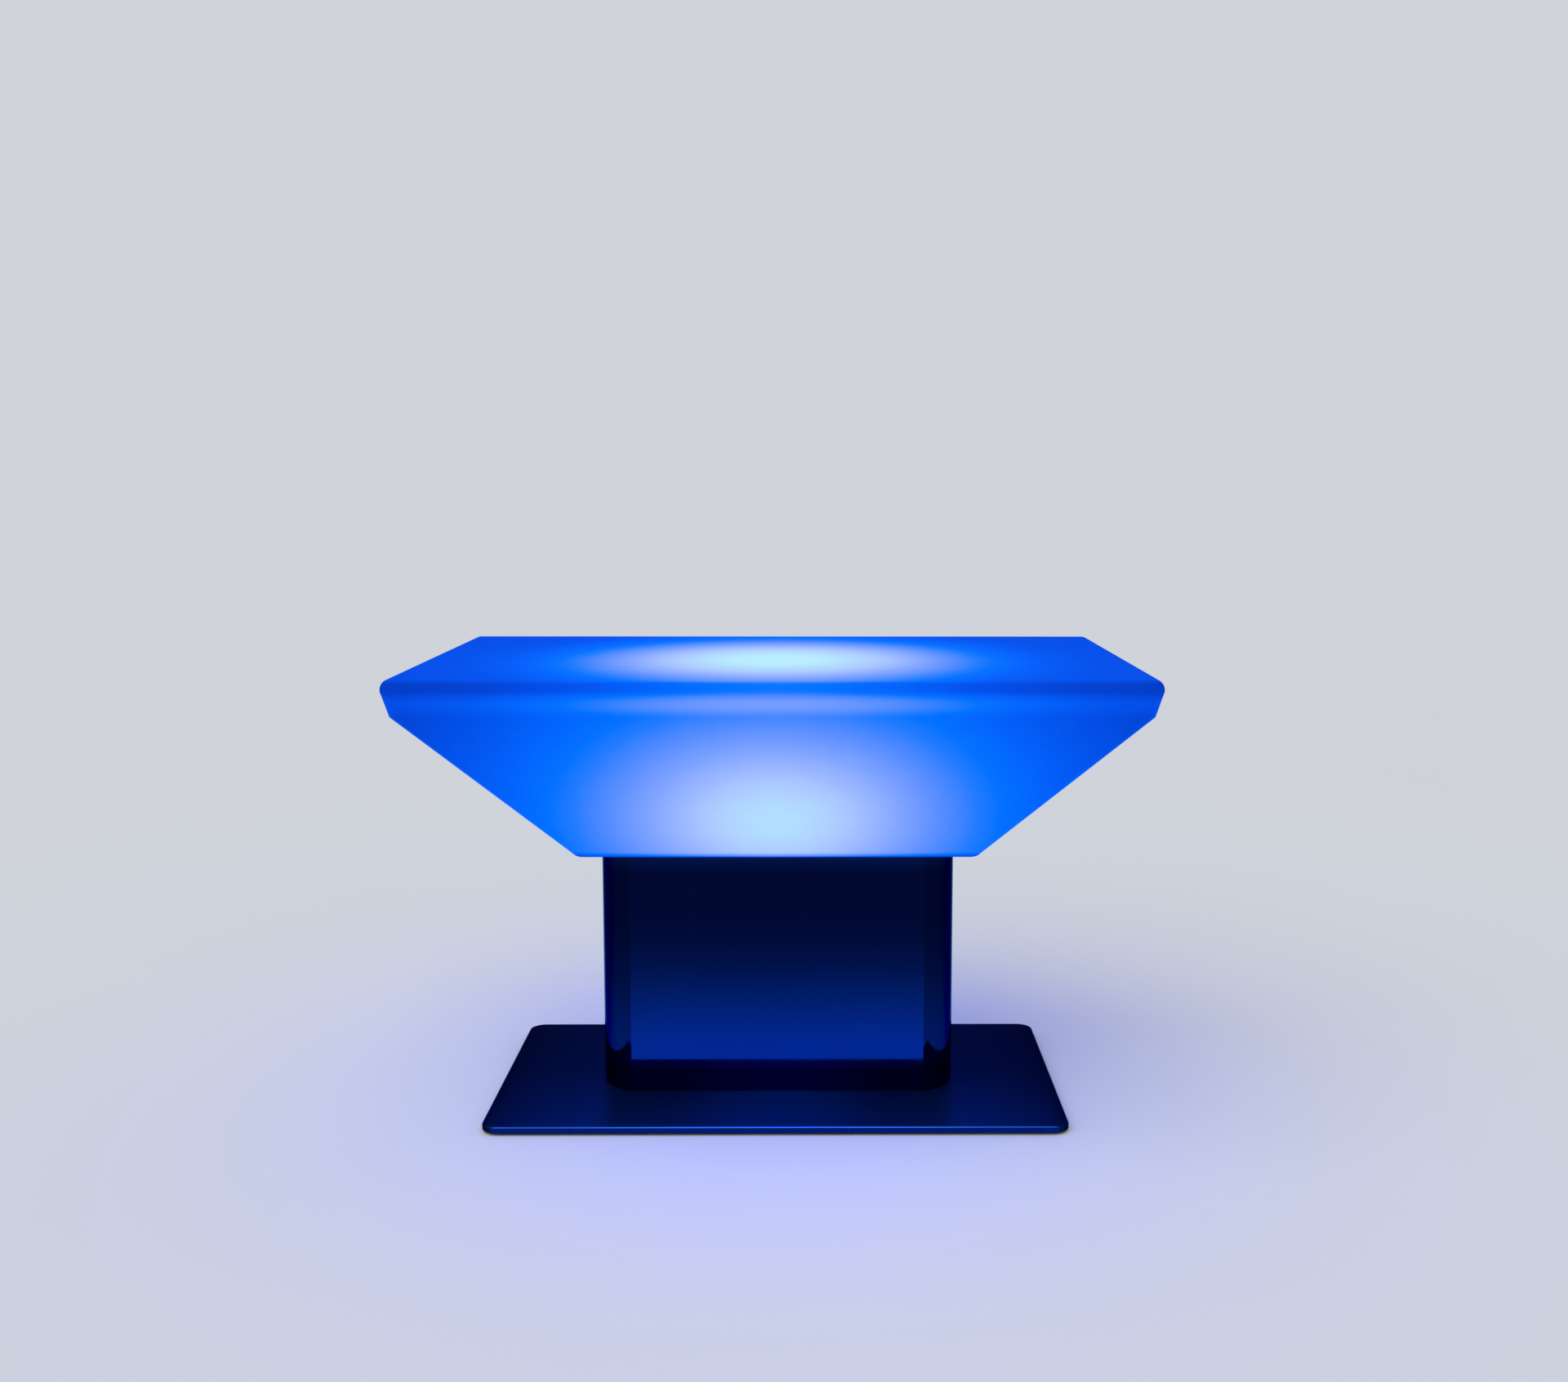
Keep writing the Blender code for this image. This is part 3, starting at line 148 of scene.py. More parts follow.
COLUMN_SHARP_ANGLE = math.radians(15)

# The glow of the walls and the table face
TAPER_FALLOFF = 1.1665
RIM_SPREAD = 0.2420
RIM_REST = 0.0645
EDGE_SPREAD = 0.230
EDGE_FALLOFF = 1.5
EDGE_REST = 0.028
FACE_PEAK = 0.822
FACE_SPREAD = (0.1842, 0.2052)
FACE_SPOT_Y = -0.0600
FACE_REST = 0.0735
FOOT_SHARE = 0.30
FOOT_BLEND = 0.009                  # over the underside
RIM_BLEND = 0.014                   # over the crease
EDGE_BLEND = (0.027, 0.010)         # under the table face
FACE_BLEND = (0.0050, 0.0001)       # under the table face
CORNER_BLEND = 0.012                # to both sides of an upright corner

# The ramp from glow to colour: green and red as display values, blue as light, past 1 at the lamp
GLOW_STOPS = (
    (57, 0, 0.53), (77, 0, 0.79), (92, 0, 0.92), (105, 0, 1.02), (115, 1, 1.60), (125, 36, 2.10),
    (135, 71, 2.60), (154, 111, 3.50), (175, 143, 4.40), (195, 168, 5.00), (210, 176, 5.50),
    (224, 178, 5.80), (236, 186, 6.00))
GLOW_LEVEL = 6.0                    # emission strength; the ramp's colours are divided by it
SENT_BACK = (0.0, 0.010, 0.10)      # studio light that the wall sends back, taken off the glow

# Where the painted light, shade and reflections of the two steels change
BEND_BLEND = 0.0004                 # to both sides of the column's crease, where the bent corners' painted shade begins
FOOT_PAINTED_REFLECTION = (0.026, 0.044)        # over the column's foot, which gets a painted reflection of the dark plate
COLUMN_PAINTED_REFLECTION = (0.020, 0.030)       # over the foot and under the head, for the painted blue reflection of the glowing floor
HEAD_LIGHT = 0.022                  # under the head, where the column gets a painted glow from the top
SIDE_FACE = (0.0008, 0.0020)        # in from the plate's outline, where the side faces get a brighter painted reflection
PAINTED_GLINT_LINE = (0.0016, 0.0010)      # under the plate's face, for the painted glint along its top edge
PAINTED_GLINT_MIDDLE = (0.12, 0.32)        # from the plate's middle, along its length, as the next two: the painted glint dims towards the ends
# the painted highlight streak along the plate's middle
PAINTED_STREAK = (0.02, 0.15)
# the painted reflection of the dark column, dimming the plate before and behind it
COLUMN_SHADE = (0.195, 0.225)

TOOL_RINGS = 9000                   # turn of the lathe rings' wave for each metre of radius
DOME_FADE = 0.048

# Studio
FLOOR_TONE = (0.640, 0.665, 0.710)
FLOOR_CLOUD = 0.008
FLOOR_REACH = 40.0
SURROUND_TONE = (0.63, 0.63, 0.63)
BACKGROUND_SHARE = 0.98             # of the floor's tone
SUN_STRENGTH = 1.35
SUN_BREADTH = math.radians(70)
SUN_TURN = (math.radians(28), math.radians(-22), 0)

# The photograph's viewpoint, angles in radians, and how far its middle was cropped aside in pixels
PHOTO_WIDTH = 1920
SENSOR_WIDTH = 36.0
FOCAL_PIXELS = 2129.27
CAMERA_PLACE = (0.04676, -2.23152, 0.78875)
CAMERA_PITCH = 0.12430
CAMERA_YAW = 0.00732
CAMERA_ROLL = 0.00108
CAMERA_SHIFT = (-52.23, 8.99)


class Wire:
    """One output socket of a material. Arithmetic adds Math nodes, and node() adds any other."""

    def __init__(self, tree, socket=None):
        self.tree = tree
        self.socket = socket

    def node(self, kind, settings, inputs, output=0):
        """A new node of a type, with its settings, then the values or wires of its sockets.

        A colour is given by its red, green and blue.
        """
        made = self.tree.nodes.new("ShaderNode" + kind)
        for name, value in settings.items():
            if name == "stops":
                set_stops(made.color_ramp, value)
            else:
                setattr(made, name, value)
        for name, value in inputs.items():
            socket = made.inputs[name]
            if isinstance(value, Wire):
                self.tree.links.new(value.socket, socket)
            else:
                socket.default_value = (*value, 1.0) if socket.type == "RGBA" else value
        return Wire(self.tree, made.outputs[output]) if made.outputs else None

    def also(self, output):
        """Another output of the same node."""
        return Wire(self.tree, self.socket.node.outputs[output])

    def math(self, operation, *values):
        return self.node("Math", {"operation": operation}, dict(enumerate(values)))

    def __add__(self, other):
        return self.math("ADD", self, other)

    __radd__ = __add__

    def __mul__(self, other):
        return self.math("MULTIPLY", self, other)

    __rmul__ = __mul__

    def __sub__(self, other):
        return self.math("SUBTRACT", self, other)

    def __rsub__(self, other):
        return self.math("SUBTRACT", other, self)

    def __truediv__(self, other):
        return self.math("DIVIDE", self, other)

    def __pow__(self, other):
        return self.math("POWER", self, other)

    def __abs__(self):
        return self.math("ABSOLUTE", self)

    def least(self, other):
        return self.math("MINIMUM", self, other)

    def sine(self):
        return self.math("SINE", self)

    def clip(self):
        return self.node("Clamp", {}, {"Value": self})

    def rise(self, low, high):
        """A smooth step from 0 at low to 1 at high."""
        return self.node("MapRange", {"interpolation_type": "SMOOTHSTEP"},
                         {"Value": self, "From Min": low, "From Max": high})

    def mix(self, first, second):
        """Two colours mixed, with this value as the second one's share."""
        return self.node("Mix", {"data_type": "RGBA"}, {0: self, 6: first, 7: second}, 2)

    def ramp(self, stops):
        return self.node("ValToRGB", {"stops": stops}, {"Fac": self})

    def xyz(self):
        """The three parts of this vector."""
        x = self.node("SeparateXYZ", {}, {"Vector": self}, "X")
        return x, x.also("Y"), x.also("Z")

    def stretched(self, stretch):
        return self.node("Mapping", {}, {"Vector": self, "Scale": stretch})

    def noise(self, scale, detail=2.0, roughness=0.5, stretch=(1, 1, 1)):
        """Noise from 0 to 1 on this vector, stretched along each axis."""
        return self.node("TexNoise", {}, {"Vector": self.stretched(stretch), "Scale": scale,
                                          "Detail": detail, "Roughness": roughness})

    def cells(self, scale):
        """Distance to the nearest cell point."""
        return self.node("TexVoronoi", {}, {"Vector": self, "Scale": scale})

    def bump(self, strength, distance):
        return self.node("Bump", {}, {"Strength": strength, "Distance": distance, "Height": self})


def set_stops(ramp, stops):
    """Give a colour ramp its (position, colour) stops."""
    while len(ramp.elements) < len(stops):
        ramp.elements.new(1.0)
    for element, (position, colour) in zip(ramp.elements, stops):
        element.position = position
        element.color = (*colour, 1)


def empty_tree(owner):
    """The cleared node tree of a material or world, as a wire that its first node comes from."""
    owner.use_nodes = True
    owner.node_tree.nodes.clear()
    return Wire(owner.node_tree)


finishes = {}    # new materials by name; the solids come with plain ones that have the same names


def new_finish(name):
    """A new material and the wire of its Object coordinates."""
    material = bpy.data.materials.new(name)
    finishes[name] = material
    return material, empty_tree(material).node("TexCoord", {}, {}, "Object")


def close_finish(place, sockets):
    """End a material with its Principled shader and output."""
    shader = place.node("BsdfPrincipled", {}, sockets)
    place.node("OutputMaterial", {}, {"Surface": shader})


def linear(*shown):
    """Display values, 0 to 255, as linear light."""
    shown = np.array(shown) / 255
    return np.where(shown <= 0.04045, shown / 12.92, ((shown + 0.055) / 1.055) ** 2.4)


# Shapes

def fillet_arc(before, corner, after, radius, steps):
    """Points of the circle that touches both legs of a flat corner, from the first to the second.

    The centre lies on the corner's bisector at radius / sin(half angle); the arc turns evenly from
    one touching point to the other.
    """
    before, corner, after = (np.array(point, float) for point in (before, corner, after))
    to_before = (before - corner) / np.linalg.norm(before - corner)
    to_after = (after - corner) / np.linalg.norm(after - corner)
    half_angle = math.acos(np.clip(to_before @ to_after, -1, 1)) / 2
    middle = (to_before + to_after) / np.linalg.norm(to_before + to_after)
    centre = corner + middle * radius / math.sin(half_angle)
    start = corner + to_before * radius / math.tan(half_angle) - centre
    end = corner + to_after * radius / math.tan(half_angle) - centre
    turn = math.atan2(start[0] * end[1] - start[1] * end[0], start @ end)
    angle = turn * np.linspace(0, 1, steps + 1)[:, None]
    return centre + start * np.cos(angle) + np.array([-start[1], start[0]]) * np.sin(angle)


def straight(start, end, steps):
    """Points spaced evenly inside a straight stretch, without its two ends."""
    share = np.linspace(0, 1, steps + 1)[1:-1, None]
    return np.array(start) * (1 - share) + np.array(end) * share


def outline(side_steps, end_steps, corner_steps):
    """Where each column of a rounded rectangle lies, as (core, direction), anticlockwise.

    A point is core * (half size - radius) + radius * direction. The core is the corner's sign pair
    on an arc, where the direction turns through a quarter circle, and slides between two corners on
    a side.
    """
    signs = np.array([(1, 1), (-1, 1), (-1, -1), (1, -1)], float)
    cores, directions = [], []
    for quarter in range(4):
        angle = (quarter + np.linspace(0, 1, corner_steps + 1)) * math.pi / 2
        cores.append(np.repeat(signs[quarter:quarter + 1], corner_steps + 1, 0))
        directions.append(np.stack([np.cos(angle), np.sin(angle)], 1))
        steps = (side_steps, end_steps)[quarter % 2]
        cores.append(straight(signs[quarter], signs[(quarter + 1) % 4], steps))
        directions.append(np.repeat(directions[-1][-1:], steps - 1, 0))
    return np.concatenate(cores), np.concatenate(directions)


def rings(columns, half_length, half_width, radius, height):
    """Rows of rounded rectangles: core * (half size - radius) + radius * direction, at a height.

    Half sizes, radii and heights are arrays with one value for each row.
    """
    core, direction = columns
    radius, height = np.broadcast_arrays(np.asarray(radius, float), np.asarray(height, float))
    reach = np.stack(np.broadcast_arrays(half_length - radius, half_width - radius), -1)
    flat = core[None] * reach[:, None] + direction[None] * radius[:, None, None]
    rise = np.broadcast_to(height[:, None, None], flat.shape[:2] + (1,))
    return np.concatenate([flat, rise], 2)


def turned(profile, steps=ROUND_STEPS, centre=(0, 0)):
    """A profile of (radius, height) points turned about an upright axis: a circle for each."""
    profile = np.array(profile, float)
    angle = np.arange(steps) * 2 * math.pi / steps
    across = profile[:, :1]
    return np.stack([centre[0] + across * np.cos(angle), centre[1] + across * np.sin(angle),
                     np.broadcast_to(profile[:, 1:], (len(profile), steps))], 2)


def to_rear(rows, x, y, z):
    """Turn an upright shape so that its axis points along +Y, from a point on the rear face."""
    return np.stack([x + rows[..., 0], y + rows[..., 2], z - rows[..., 1]], -1)


def quads(rows, columns, wrapped=True):
    """The faces between neighbouring rows of a grid, closed round its columns if wrapped."""
    index = np.arange(rows * columns).reshape(rows, columns)
    following = np.roll(index, -1, 1)
    faces = np.stack([index[:-1], following[:-1], following[1:], index[1:]], -1)
    return (faces if wrapped else faces[:, :-1]).reshape(-1, 4)


def flat_cap(loops, normal):
    """Points and triangles that fill the first closed loop, except inside the others."""
    sizes = [len(loop) for loop in loops]
    edges = np.concatenate([np.stack([np.arange(size), np.roll(np.arange(size), -1)], 1) + start
                            for size, start in zip(sizes, np.cumsum([0] + sizes))])
    points = np.concatenate(loops)
    guide = bpy.data.meshes.new("cap")
    guide.from_pydata(points.tolist(), edges.tolist(), [])
    bm = bmesh.new()
    bm.from_mesh(guide)
    bpy.data.meshes.remove(guide)
    bmesh.ops.triangle_fill(bm, use_beauty=True, use_dissolve=False, edges=bm.edges[:],
                            normal=normal)
    faces = [[vert.index for vert in face.verts] for face in bm.faces]
    bm.free()
    return points, faces


def shell(name, wrapped=(), opened=(), caps=(), sharp_angle=SHARP_ANGLE):
    """One closed mesh from grids of points and flat caps, merged, with its faces outwards."""
    points, faces, count = [], [], 0
    for group, closed in ((wrapped, True), (opened, False)):
        for grid in group:
            faces += (quads(*grid.shape[:2], closed) + count).tolist()
            points.append(grid.reshape(-1, 3))
            count += len(points[-1])
    for loops, normal in caps:
        corners, triangles = flat_cap(loops, normal)
        faces += (np.array(triangles) + count).tolist()
        points.append(corners)
        count += len(corners)
    mesh = bpy.data.meshes.new(name)
    mesh.from_pydata(np.concatenate(points).tolist(), [], faces)
    bm = bmesh.new()
    bm.from_mesh(mesh)
    bmesh.ops.remove_doubles(bm, verts=bm.verts, dist=MERGE_DISTANCE)
    bmesh.ops.dissolve_degenerate(bm, edges=bm.edges[:], dist=MERGE_DISTANCE)
    bmesh.ops.recalc_face_normals(bm, faces=bm.faces)
    open_edges = sum(not edge.is_manifold for edge in bm.edges)
    bm.to_mesh(mesh)
    bm.free()
    if open_edges:
        print(name, "has", open_edges, "edges that don't join two faces")
    mesh.shade_smooth()
    mesh.set_sharp_from_angle(angle=sharp_angle)
    piece = bpy.data.objects.new(name, mesh)
    bpy.context.scene.collection.objects.link(piece)
    weights = piece.modifiers.new("Normals", "WEIGHTED_NORMAL")
    weights.keep_sharp = True
    return piece


def place_piece(piece, material, nodes, body="table"):
    """Give a piece its finish, its body and the solids that it stands for."""
    piece.data.materials.append(material)
    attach(piece, body)
    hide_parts(*nodes)


def mid(node):
    """The middle of a solid's box."""
    low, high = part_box(node)
    return (low + high) / 2


def flat_mid(node):
    """The middle of a solid's box as seen from above."""
    return tuple(mid(node))[:2]


def numbered(name, count):
    return [f"{name}_{number}" for number in range(1, count + 1)]


def points_of(mesh):
    """A mesh's points as an array."""
    flat = np.empty(len(mesh.vertices) * 3, np.float32)
    mesh.vertices.foreach_get("co", flat)
    return flat.reshape(-1, 3).astype(float)


# The glowing top

def body_profile(top_low, top_high):
    """Insets and heights up the outside of the top, with the corner radius seen from above.

    The legs are the underside, the taper, the rim and the table face; a fillet rounds each corner.
    The corner radius stays the same on the taper and rim, and shrinks by the inset on the two flat
    faces.
    """
    depth = top_high.z - top_low.z
    lean = math.atan2(RIM_LEAN, RIM_HEIGHT)
    overhang = TOP_EDGE_RADIUS * (math.tan(math.pi / 4 + lean / 2) - 1)
    half_length = top_high.x + overhang
    half_width = top_high.y + overhang
    column_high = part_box("column_sleeve")[1]
    foot_inset = min(half_length - column_high.x, half_width - column_high.y) - UNDERSIDE_MARGIN
    middle = (half_width, 0)
    foot = (foot_inset, 0)
    crease = (RIM_LEAN, depth - RIM_HEIGHT)
    lip = (0, depth)
    flat_end = (half_width, depth)
    under = fillet_arc(middle, foot, crease, UNDERSIDE_EDGE_RADIUS, UNDERSIDE_EDGE_STEPS)
    waist = fillet_arc(foot, crease, lip, CREASE_RADIUS, CREASE_STEPS)
    edge = fillet_arc(crease, lip, flat_end, TOP_EDGE_RADIUS, TOP_EDGE_STEPS)
    path = np.concatenate([
        under, straight(under[-1], waist[0], TAPER_STEPS), waist,
        straight(waist[-1], edge[0], RIM_STEPS), edge, straight(edge[-1], flat_end, FACE_STEPS),
        [flat_end]])
    inset, height = path[:, 0], path[:, 1]
    index = np.arange(len(path))
    on_underside = index < len(under)
    on_face = index >= len(path) - len(edge) - FACE_STEPS
    widest = np.where(on_underside, under[-1][0], overhang)
    shrunk = np.maximum(TOP_CORNER_RADIUS - np.maximum(inset - widest, 0), 0)
    radius = np.where(on_underside | on_face, shrunk, TOP_CORNER_RADIUS)
    return half_length - inset, half_width - inset, radius, height + top_low.z


def inner_profile(half_length, half_width, radius, height):
    """Every second point of the outside profile, moved inwards by the wall along its normal."""
    along = np.gradient(np.stack([half_width, height], 1), axis=0)
    along /= np.linalg.norm(along, axis=1, keepdims=True)
    inward = np.stack([-along[:, 1], along[:, 0]], 1) * TOP_WALL
    inward[0] = (0, TOP_WALL)
    inward[-1] = (0, -TOP_WALL)
    step_in = -inward[:, 0]
    moved = (half_length - step_in, half_width - step_in, np.maximum(radius - step_in, 0),
             height + inward[:, 1])
    return tuple(array[::INNER_STRIDE] for array in moved)


def make_glowing_top():
    """The hollow moulded top: one closed skin with wall, light opening, bosses and insert seats."""
    low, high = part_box("light_body")
    columns = outline(*TOP_OUTLINE_STEPS)
    profile = body_profile(low, high)
    outer = rings(columns, *profile)
    inner = rings(columns, *inner_profile(*profile))
    floor = low.z
    inside = floor + TOP_WALL
    seat_end = floor + INSERT_SEAT_DEPTH
    boss_end = inside + BOSS_HEIGHT
    places = [flat_mid(node) for node in numbered("body_insert", 4)]
    opening = turned([(LIGHT_OPENING_RADIUS, floor), (LIGHT_OPENING_RADIUS, inside)])
    seats = [turned([(INSERT_SEAT_RADIUS, floor), (INSERT_SEAT_RADIUS, seat_end), (0, seat_end)],
                    SMALL_ROUND_STEPS, place) for place in places]
    bosses = [turned([(BOSS_RADIUS, inside), (BOSS_RADIUS, boss_end), (0, boss_end)],
                     SMALL_ROUND_STEPS, place) for place in places]
    caps = [([outer[0], opening[0]] + [seat[0] for seat in seats], (0, 0, -1)),
            ([inner[0], opening[1]] + [boss[0] for boss in bosses], (0, 0, 1))]
    piece = shell("glowing_top", [outer, inner, opening] + seats + bosses, (), caps)
    add_glow(piece, low, high)
    place_piece(piece, glowing_plastic(), ["light_body"])


def smooth_step(value, low, high):
    """0 up to low and 1 from high on, with share^2 * (3 - 2 * share) between them."""
    share = np.clip((value - low) / (high - low), 0, 1)
    return share * share * (3 - 2 * share)


def blend(first, second, share):
    """The first value moved by a share of the way to the second."""
    return first + (second - first) * share


def wall_glow(along, above, depth, taper_peak, spread, hot_height, height_spread, rim_peak,
              edge_peak):
    """The glow of a wall from its foot up: the taper, the rim and the thick rounded edge.

    The taper falls off as peak / (1 + (along / spread)^2 + ((above - hot height) / height
    spread)^2)^falloff. The rim follows a bell curve and the edge peak / (1 + (along / spread)^2)
    ^falloff, each over a steady rest.
    """
    far = (along / spread) ** 2 + ((above - hot_height) / height_spread) ** 2
    taper = taper_peak / (1 + far) ** TAPER_FALLOFF
    rim = rim_peak * np.exp(-(along / RIM_SPREAD) ** 2) + RIM_REST
    edge = edge_peak / (1 + (along / EDGE_SPREAD) ** 2) ** EDGE_FALLOFF + EDGE_REST
    crease = depth - RIM_HEIGHT
    glow = blend(taper, rim, smooth_step(above, crease, crease + RIM_BLEND))
    return blend(glow, edge, smooth_step(above, depth - EDGE_BLEND[0], depth - EDGE_BLEND[1]))


def add_glow(piece, low, high):
    """How bright the wall shines at each point, kept on the mesh as the attribute 'glow'.

    The lamp sits on the floor of the hollow top. The ends lie further from it than the long sides,
    so their peaks are lower and their spreads longer. The table face follows a bell curve over a
    steady rest, and the lowest edge of the walls is dimmer.
    """
    x, y, z = points_of(piece.data).T
    above = z - low.z
    depth = high.z - low.z
    side = wall_glow(x, above, depth, taper_peak=0.741, spread=0.1721, hot_height=0.0573,
                     height_spread=0.1136, rim_peak=0.276, edge_peak=0.145)
    end = wall_glow(y, above, depth, taper_peak=0.250, spread=0.3000, hot_height=0.0900,
                    height_spread=0.2100, rim_peak=0.100, edge_peak=0.040)
    past_corner = (np.abs(x) - high.x) - (np.abs(y) - high.y)
    glow = blend(side, end, smooth_step(past_corner, -CORNER_BLEND, CORNER_BLEND))
    far = (x / FACE_SPREAD[0]) ** 2 + ((y - FACE_SPOT_Y) / FACE_SPREAD[1]) ** 2
    face = FACE_PEAK * np.exp(-far) + FACE_REST
    glow = blend(glow, face, smooth_step(above, depth - FACE_BLEND[0], depth - FACE_BLEND[1]))
    glow *= blend(FOOT_SHARE, 1, smooth_step(above, 0, FOOT_BLEND))
    attribute = piece.data.attributes.new("glow", "FLOAT", "POINT")
    attribute.data.foreach_set("value", glow.astype(np.float32))


def glowing_plastic():
    """Satin polyethylene lit from inside: deep blue far from the lamp, near white over it.

    A stop of the ramp lies where the glow equals its green as light.
    """
    material, place = new_finish("glowing_plastic")
    glow = place.node("Attribute", {"attribute_name": "glow"}, {}, "Fac")
    mottle = place.noise(38, 3, 0.6)
    flow = place.noise(5, 2, 0.5)
    shine = glow * (0.965 + 0.05 * mottle + 0.02 * flow)
    lights = [np.array([*linear(red, green), blue]) for green, red, blue in GLOW_STOPS]
    stops = [(light[1], (light - SENT_BACK) / GLOW_LEVEL) for light in lights]
    grain = place.noise(900, 3, 0.6)
    ripple = place.noise(60, 2, 0.5)
    close_finish(place, {
        # The dark blue base is painted glow: the plastic's own white is given the glow's blue, so
        # the studio light doesn't pale it
        "Base Color": mottle.mix((0.001, 0.012, 0.110), (0.002, 0.018, 0.145)),
        "Roughness": 0.40 + 0.10 * ripple, "Specular IOR Level": 0.0,
        "Coat Weight": 0.003 + 0.005 * ripple, "Coat Roughness": 0.28,
        "Emission Color": shine.ramp(stops), "Emission Strength": GLOW_LEVEL,
        "Normal": (grain * 0.5 + ripple).bump(0.12, 0.0004)})
    return material


# The column and the plate

def column_rows(high, insets, heights):
    """Rows of the column's outline, each moved in from the outside by an inset, at a height.

    A corner's arc has the radius R - inset. It leaves the end face smoothly and stops where it
    meets the long face, at a crease: sin(angle there) = (depth - inset) / (R - inset), where depth
    is how far the arc's centre lies behind the long face. The points run anticlockwise from one end
    of the rear face round to its other end.
    """
    reach = math.acos(1 - COLUMN_CORNER_REACH / COLUMN_CORNER_RADIUS)
    depth = COLUMN_CORNER_RADIUS * math.sin(reach)
    centre = np.array([high.x - COLUMN_CORNER_RADIUS, high.y - depth])
    rows = []
    for inset, height in zip(insets, heights):
        radius = COLUMN_CORNER_RADIUS - inset
        angle = math.asin((depth - inset) / radius) * np.linspace(0, 1, COLUMN_CORNER_STEPS + 1)
        arc = centre + radius * np.stack([np.cos(angle), np.sin(angle)], 1)
        rear_left, front_left, front_right = arc[::-1] * (-1, 1), -arc, arc[::-1] * (1, -1)
        path = np.concatenate([
            rear_left, straight(rear_left[-1], front_left[0], COLUMN_END_STEPS),
            front_left, straight(front_left[-1], front_right[0], COLUMN_FACE_STEPS),
            front_right, straight(front_right[-1], arc[0], COLUMN_END_STEPS), arc])
        rows.append(np.column_stack([path, np.full(len(path), height)]))
    return np.array(rows)


def make_column():
    """The bent and polished sleeve: two skins, end rings and a rear panel with two holes."""
    low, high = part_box("column_sleeve")
    edge = fillet_arc((COLUMN_WALL, 0), (0, 0), (0, COLUMN_WALL), COLUMN_EDGE_RADIUS,
                      COLUMN_EDGE_STEPS)
    foot = column_rows(high, edge[:, 0], low.z + edge[:, 1])
    head = column_rows(high, edge[::-1, 0], high.z - edge[::-1, 1])
    levels = np.linspace(low.z + COLUMN_EDGE_RADIUS, high.z - COLUMN_EDGE_RADIUS, COLUMN_LEVELS)
    outer = column_rows(high, np.zeros(COLUMN_LEVELS), levels)
    inner = column_rows(high, (COLUMN_WALL, COLUMN_WALL), (low.z, high.z))
    foot_ring = np.stack([foot[0], inner[0]])
    head_ring = np.stack([head[-1], inner[1]])
    holes = []
    for node, radius in (("button_bushing", BUSHING_HOLE_RADIUS),
                         ("charge_socket", SOCKET_HOLE_RADIUS)):
        centre = mid(node)
        tube = turned([(radius, 0), (radius, -COLUMN_WALL)], SMALL_ROUND_STEPS)
        holes.append(to_rear(tube, centre.x, high.y, centre.z))
    panel = np.concatenate([outer[:, 0], outer[::-1, -1]])
    lining = np.concatenate([inner[:, 0], inner[::-1, -1]])
    caps = [([panel] + [hole[0] for hole in holes], (0, 1, 0)),
            ([lining] + [hole[1] for hole in holes], (0, -1, 0))]
    piece = shell("polished_column", [foot, head, foot_ring, head_ring] + holes, [outer, inner],
                  caps, COLUMN_SHARP_ANGLE)
    place_piece(piece, polished_steel(low, high), ["column_sleeve"])


def make_plate():
    """The base plate: rounded corners and top edge, countersunk screw holes and tapped holes."""
    low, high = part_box("base_plate")
    thickness = high.z - low.z
    chamfer = [(PLATE_FOOT_CHAMFER, 0), (0, PLATE_FOOT_CHAMFER)]
    edge = fillet_arc((0, 0), (0, thickness), (PLATE_EDGE_RADIUS * 2, thickness),
                      PLATE_EDGE_RADIUS, PLATE_EDGE_STEPS)
    inset, height = np.concatenate([chamfer, edge]).T
    skin = rings(outline(*PLATE_OUTLINE_STEPS), high.x - inset, high.y - inset,
                 PLATE_CORNER_RADIUS - inset, low.z + height)
    sunk = [(BASE_SINK_RADIUS, low.z), (BASE_SINK_RADIUS, low.z + BASE_SINK_LIP),
            (BASE_HOLE_RADIUS, low.z + BASE_SINK_DEPTH), (BASE_HOLE_RADIUS, high.z)]
    blind = high.z - TAPPED_DEPTH
    tapping = [(TAPPED_RADIUS, high.z), (TAPPED_RADIUS, blind), (0, blind)]
    through = [turned(sunk, SMALL_ROUND_STEPS, flat_mid(node))
               for node in numbered("base_screw", 4)]
    tapped = [turned(tapping, SMALL_ROUND_STEPS, flat_mid(node))
              for node in numbered("clamp_screw", 2) + numbered("controller_screw", 2)]
    caps = [([skin[0]] + [hole[0] for hole in through], (0, 0, -1)),
            ([skin[-1]] + [hole[-1] for hole in through] + [hole[0] for hole in tapped],
             (0, 0, 1))]
    piece = shell("steel_plate", [skin] + through + tapped, (), caps)
    place_piece(piece, satin_steel(low, high), ["base_plate"])


def make_glides():
    """Four rubber glides with rounded rims."""
    rubber = black_rubber()
    for number in range(1, 5):
        node = f"floor_glide_{number}"
        low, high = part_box(node)
        radius = (high.x - low.x) / 2
        thick = high.z - low.z
        rim = fillet_arc((0, 0), (radius, 0), (radius, thick), GLIDE_EDGE_RADIUS,
                         GLIDE_EDGE_STEPS)
        lip = fillet_arc((radius, 0), (radius, thick), (0, thick), GLIDE_EDGE_RADIUS,
                         GLIDE_EDGE_STEPS)
        profile = np.concatenate([[(0, 0)], rim, lip, [(0, thick)]]) + (0, low.z)
        piece = shell(f"glide_pad_{number}", [turned(profile, ROUND_STEPS, flat_mid(node))])
        place_piece(piece, rubber, [node])


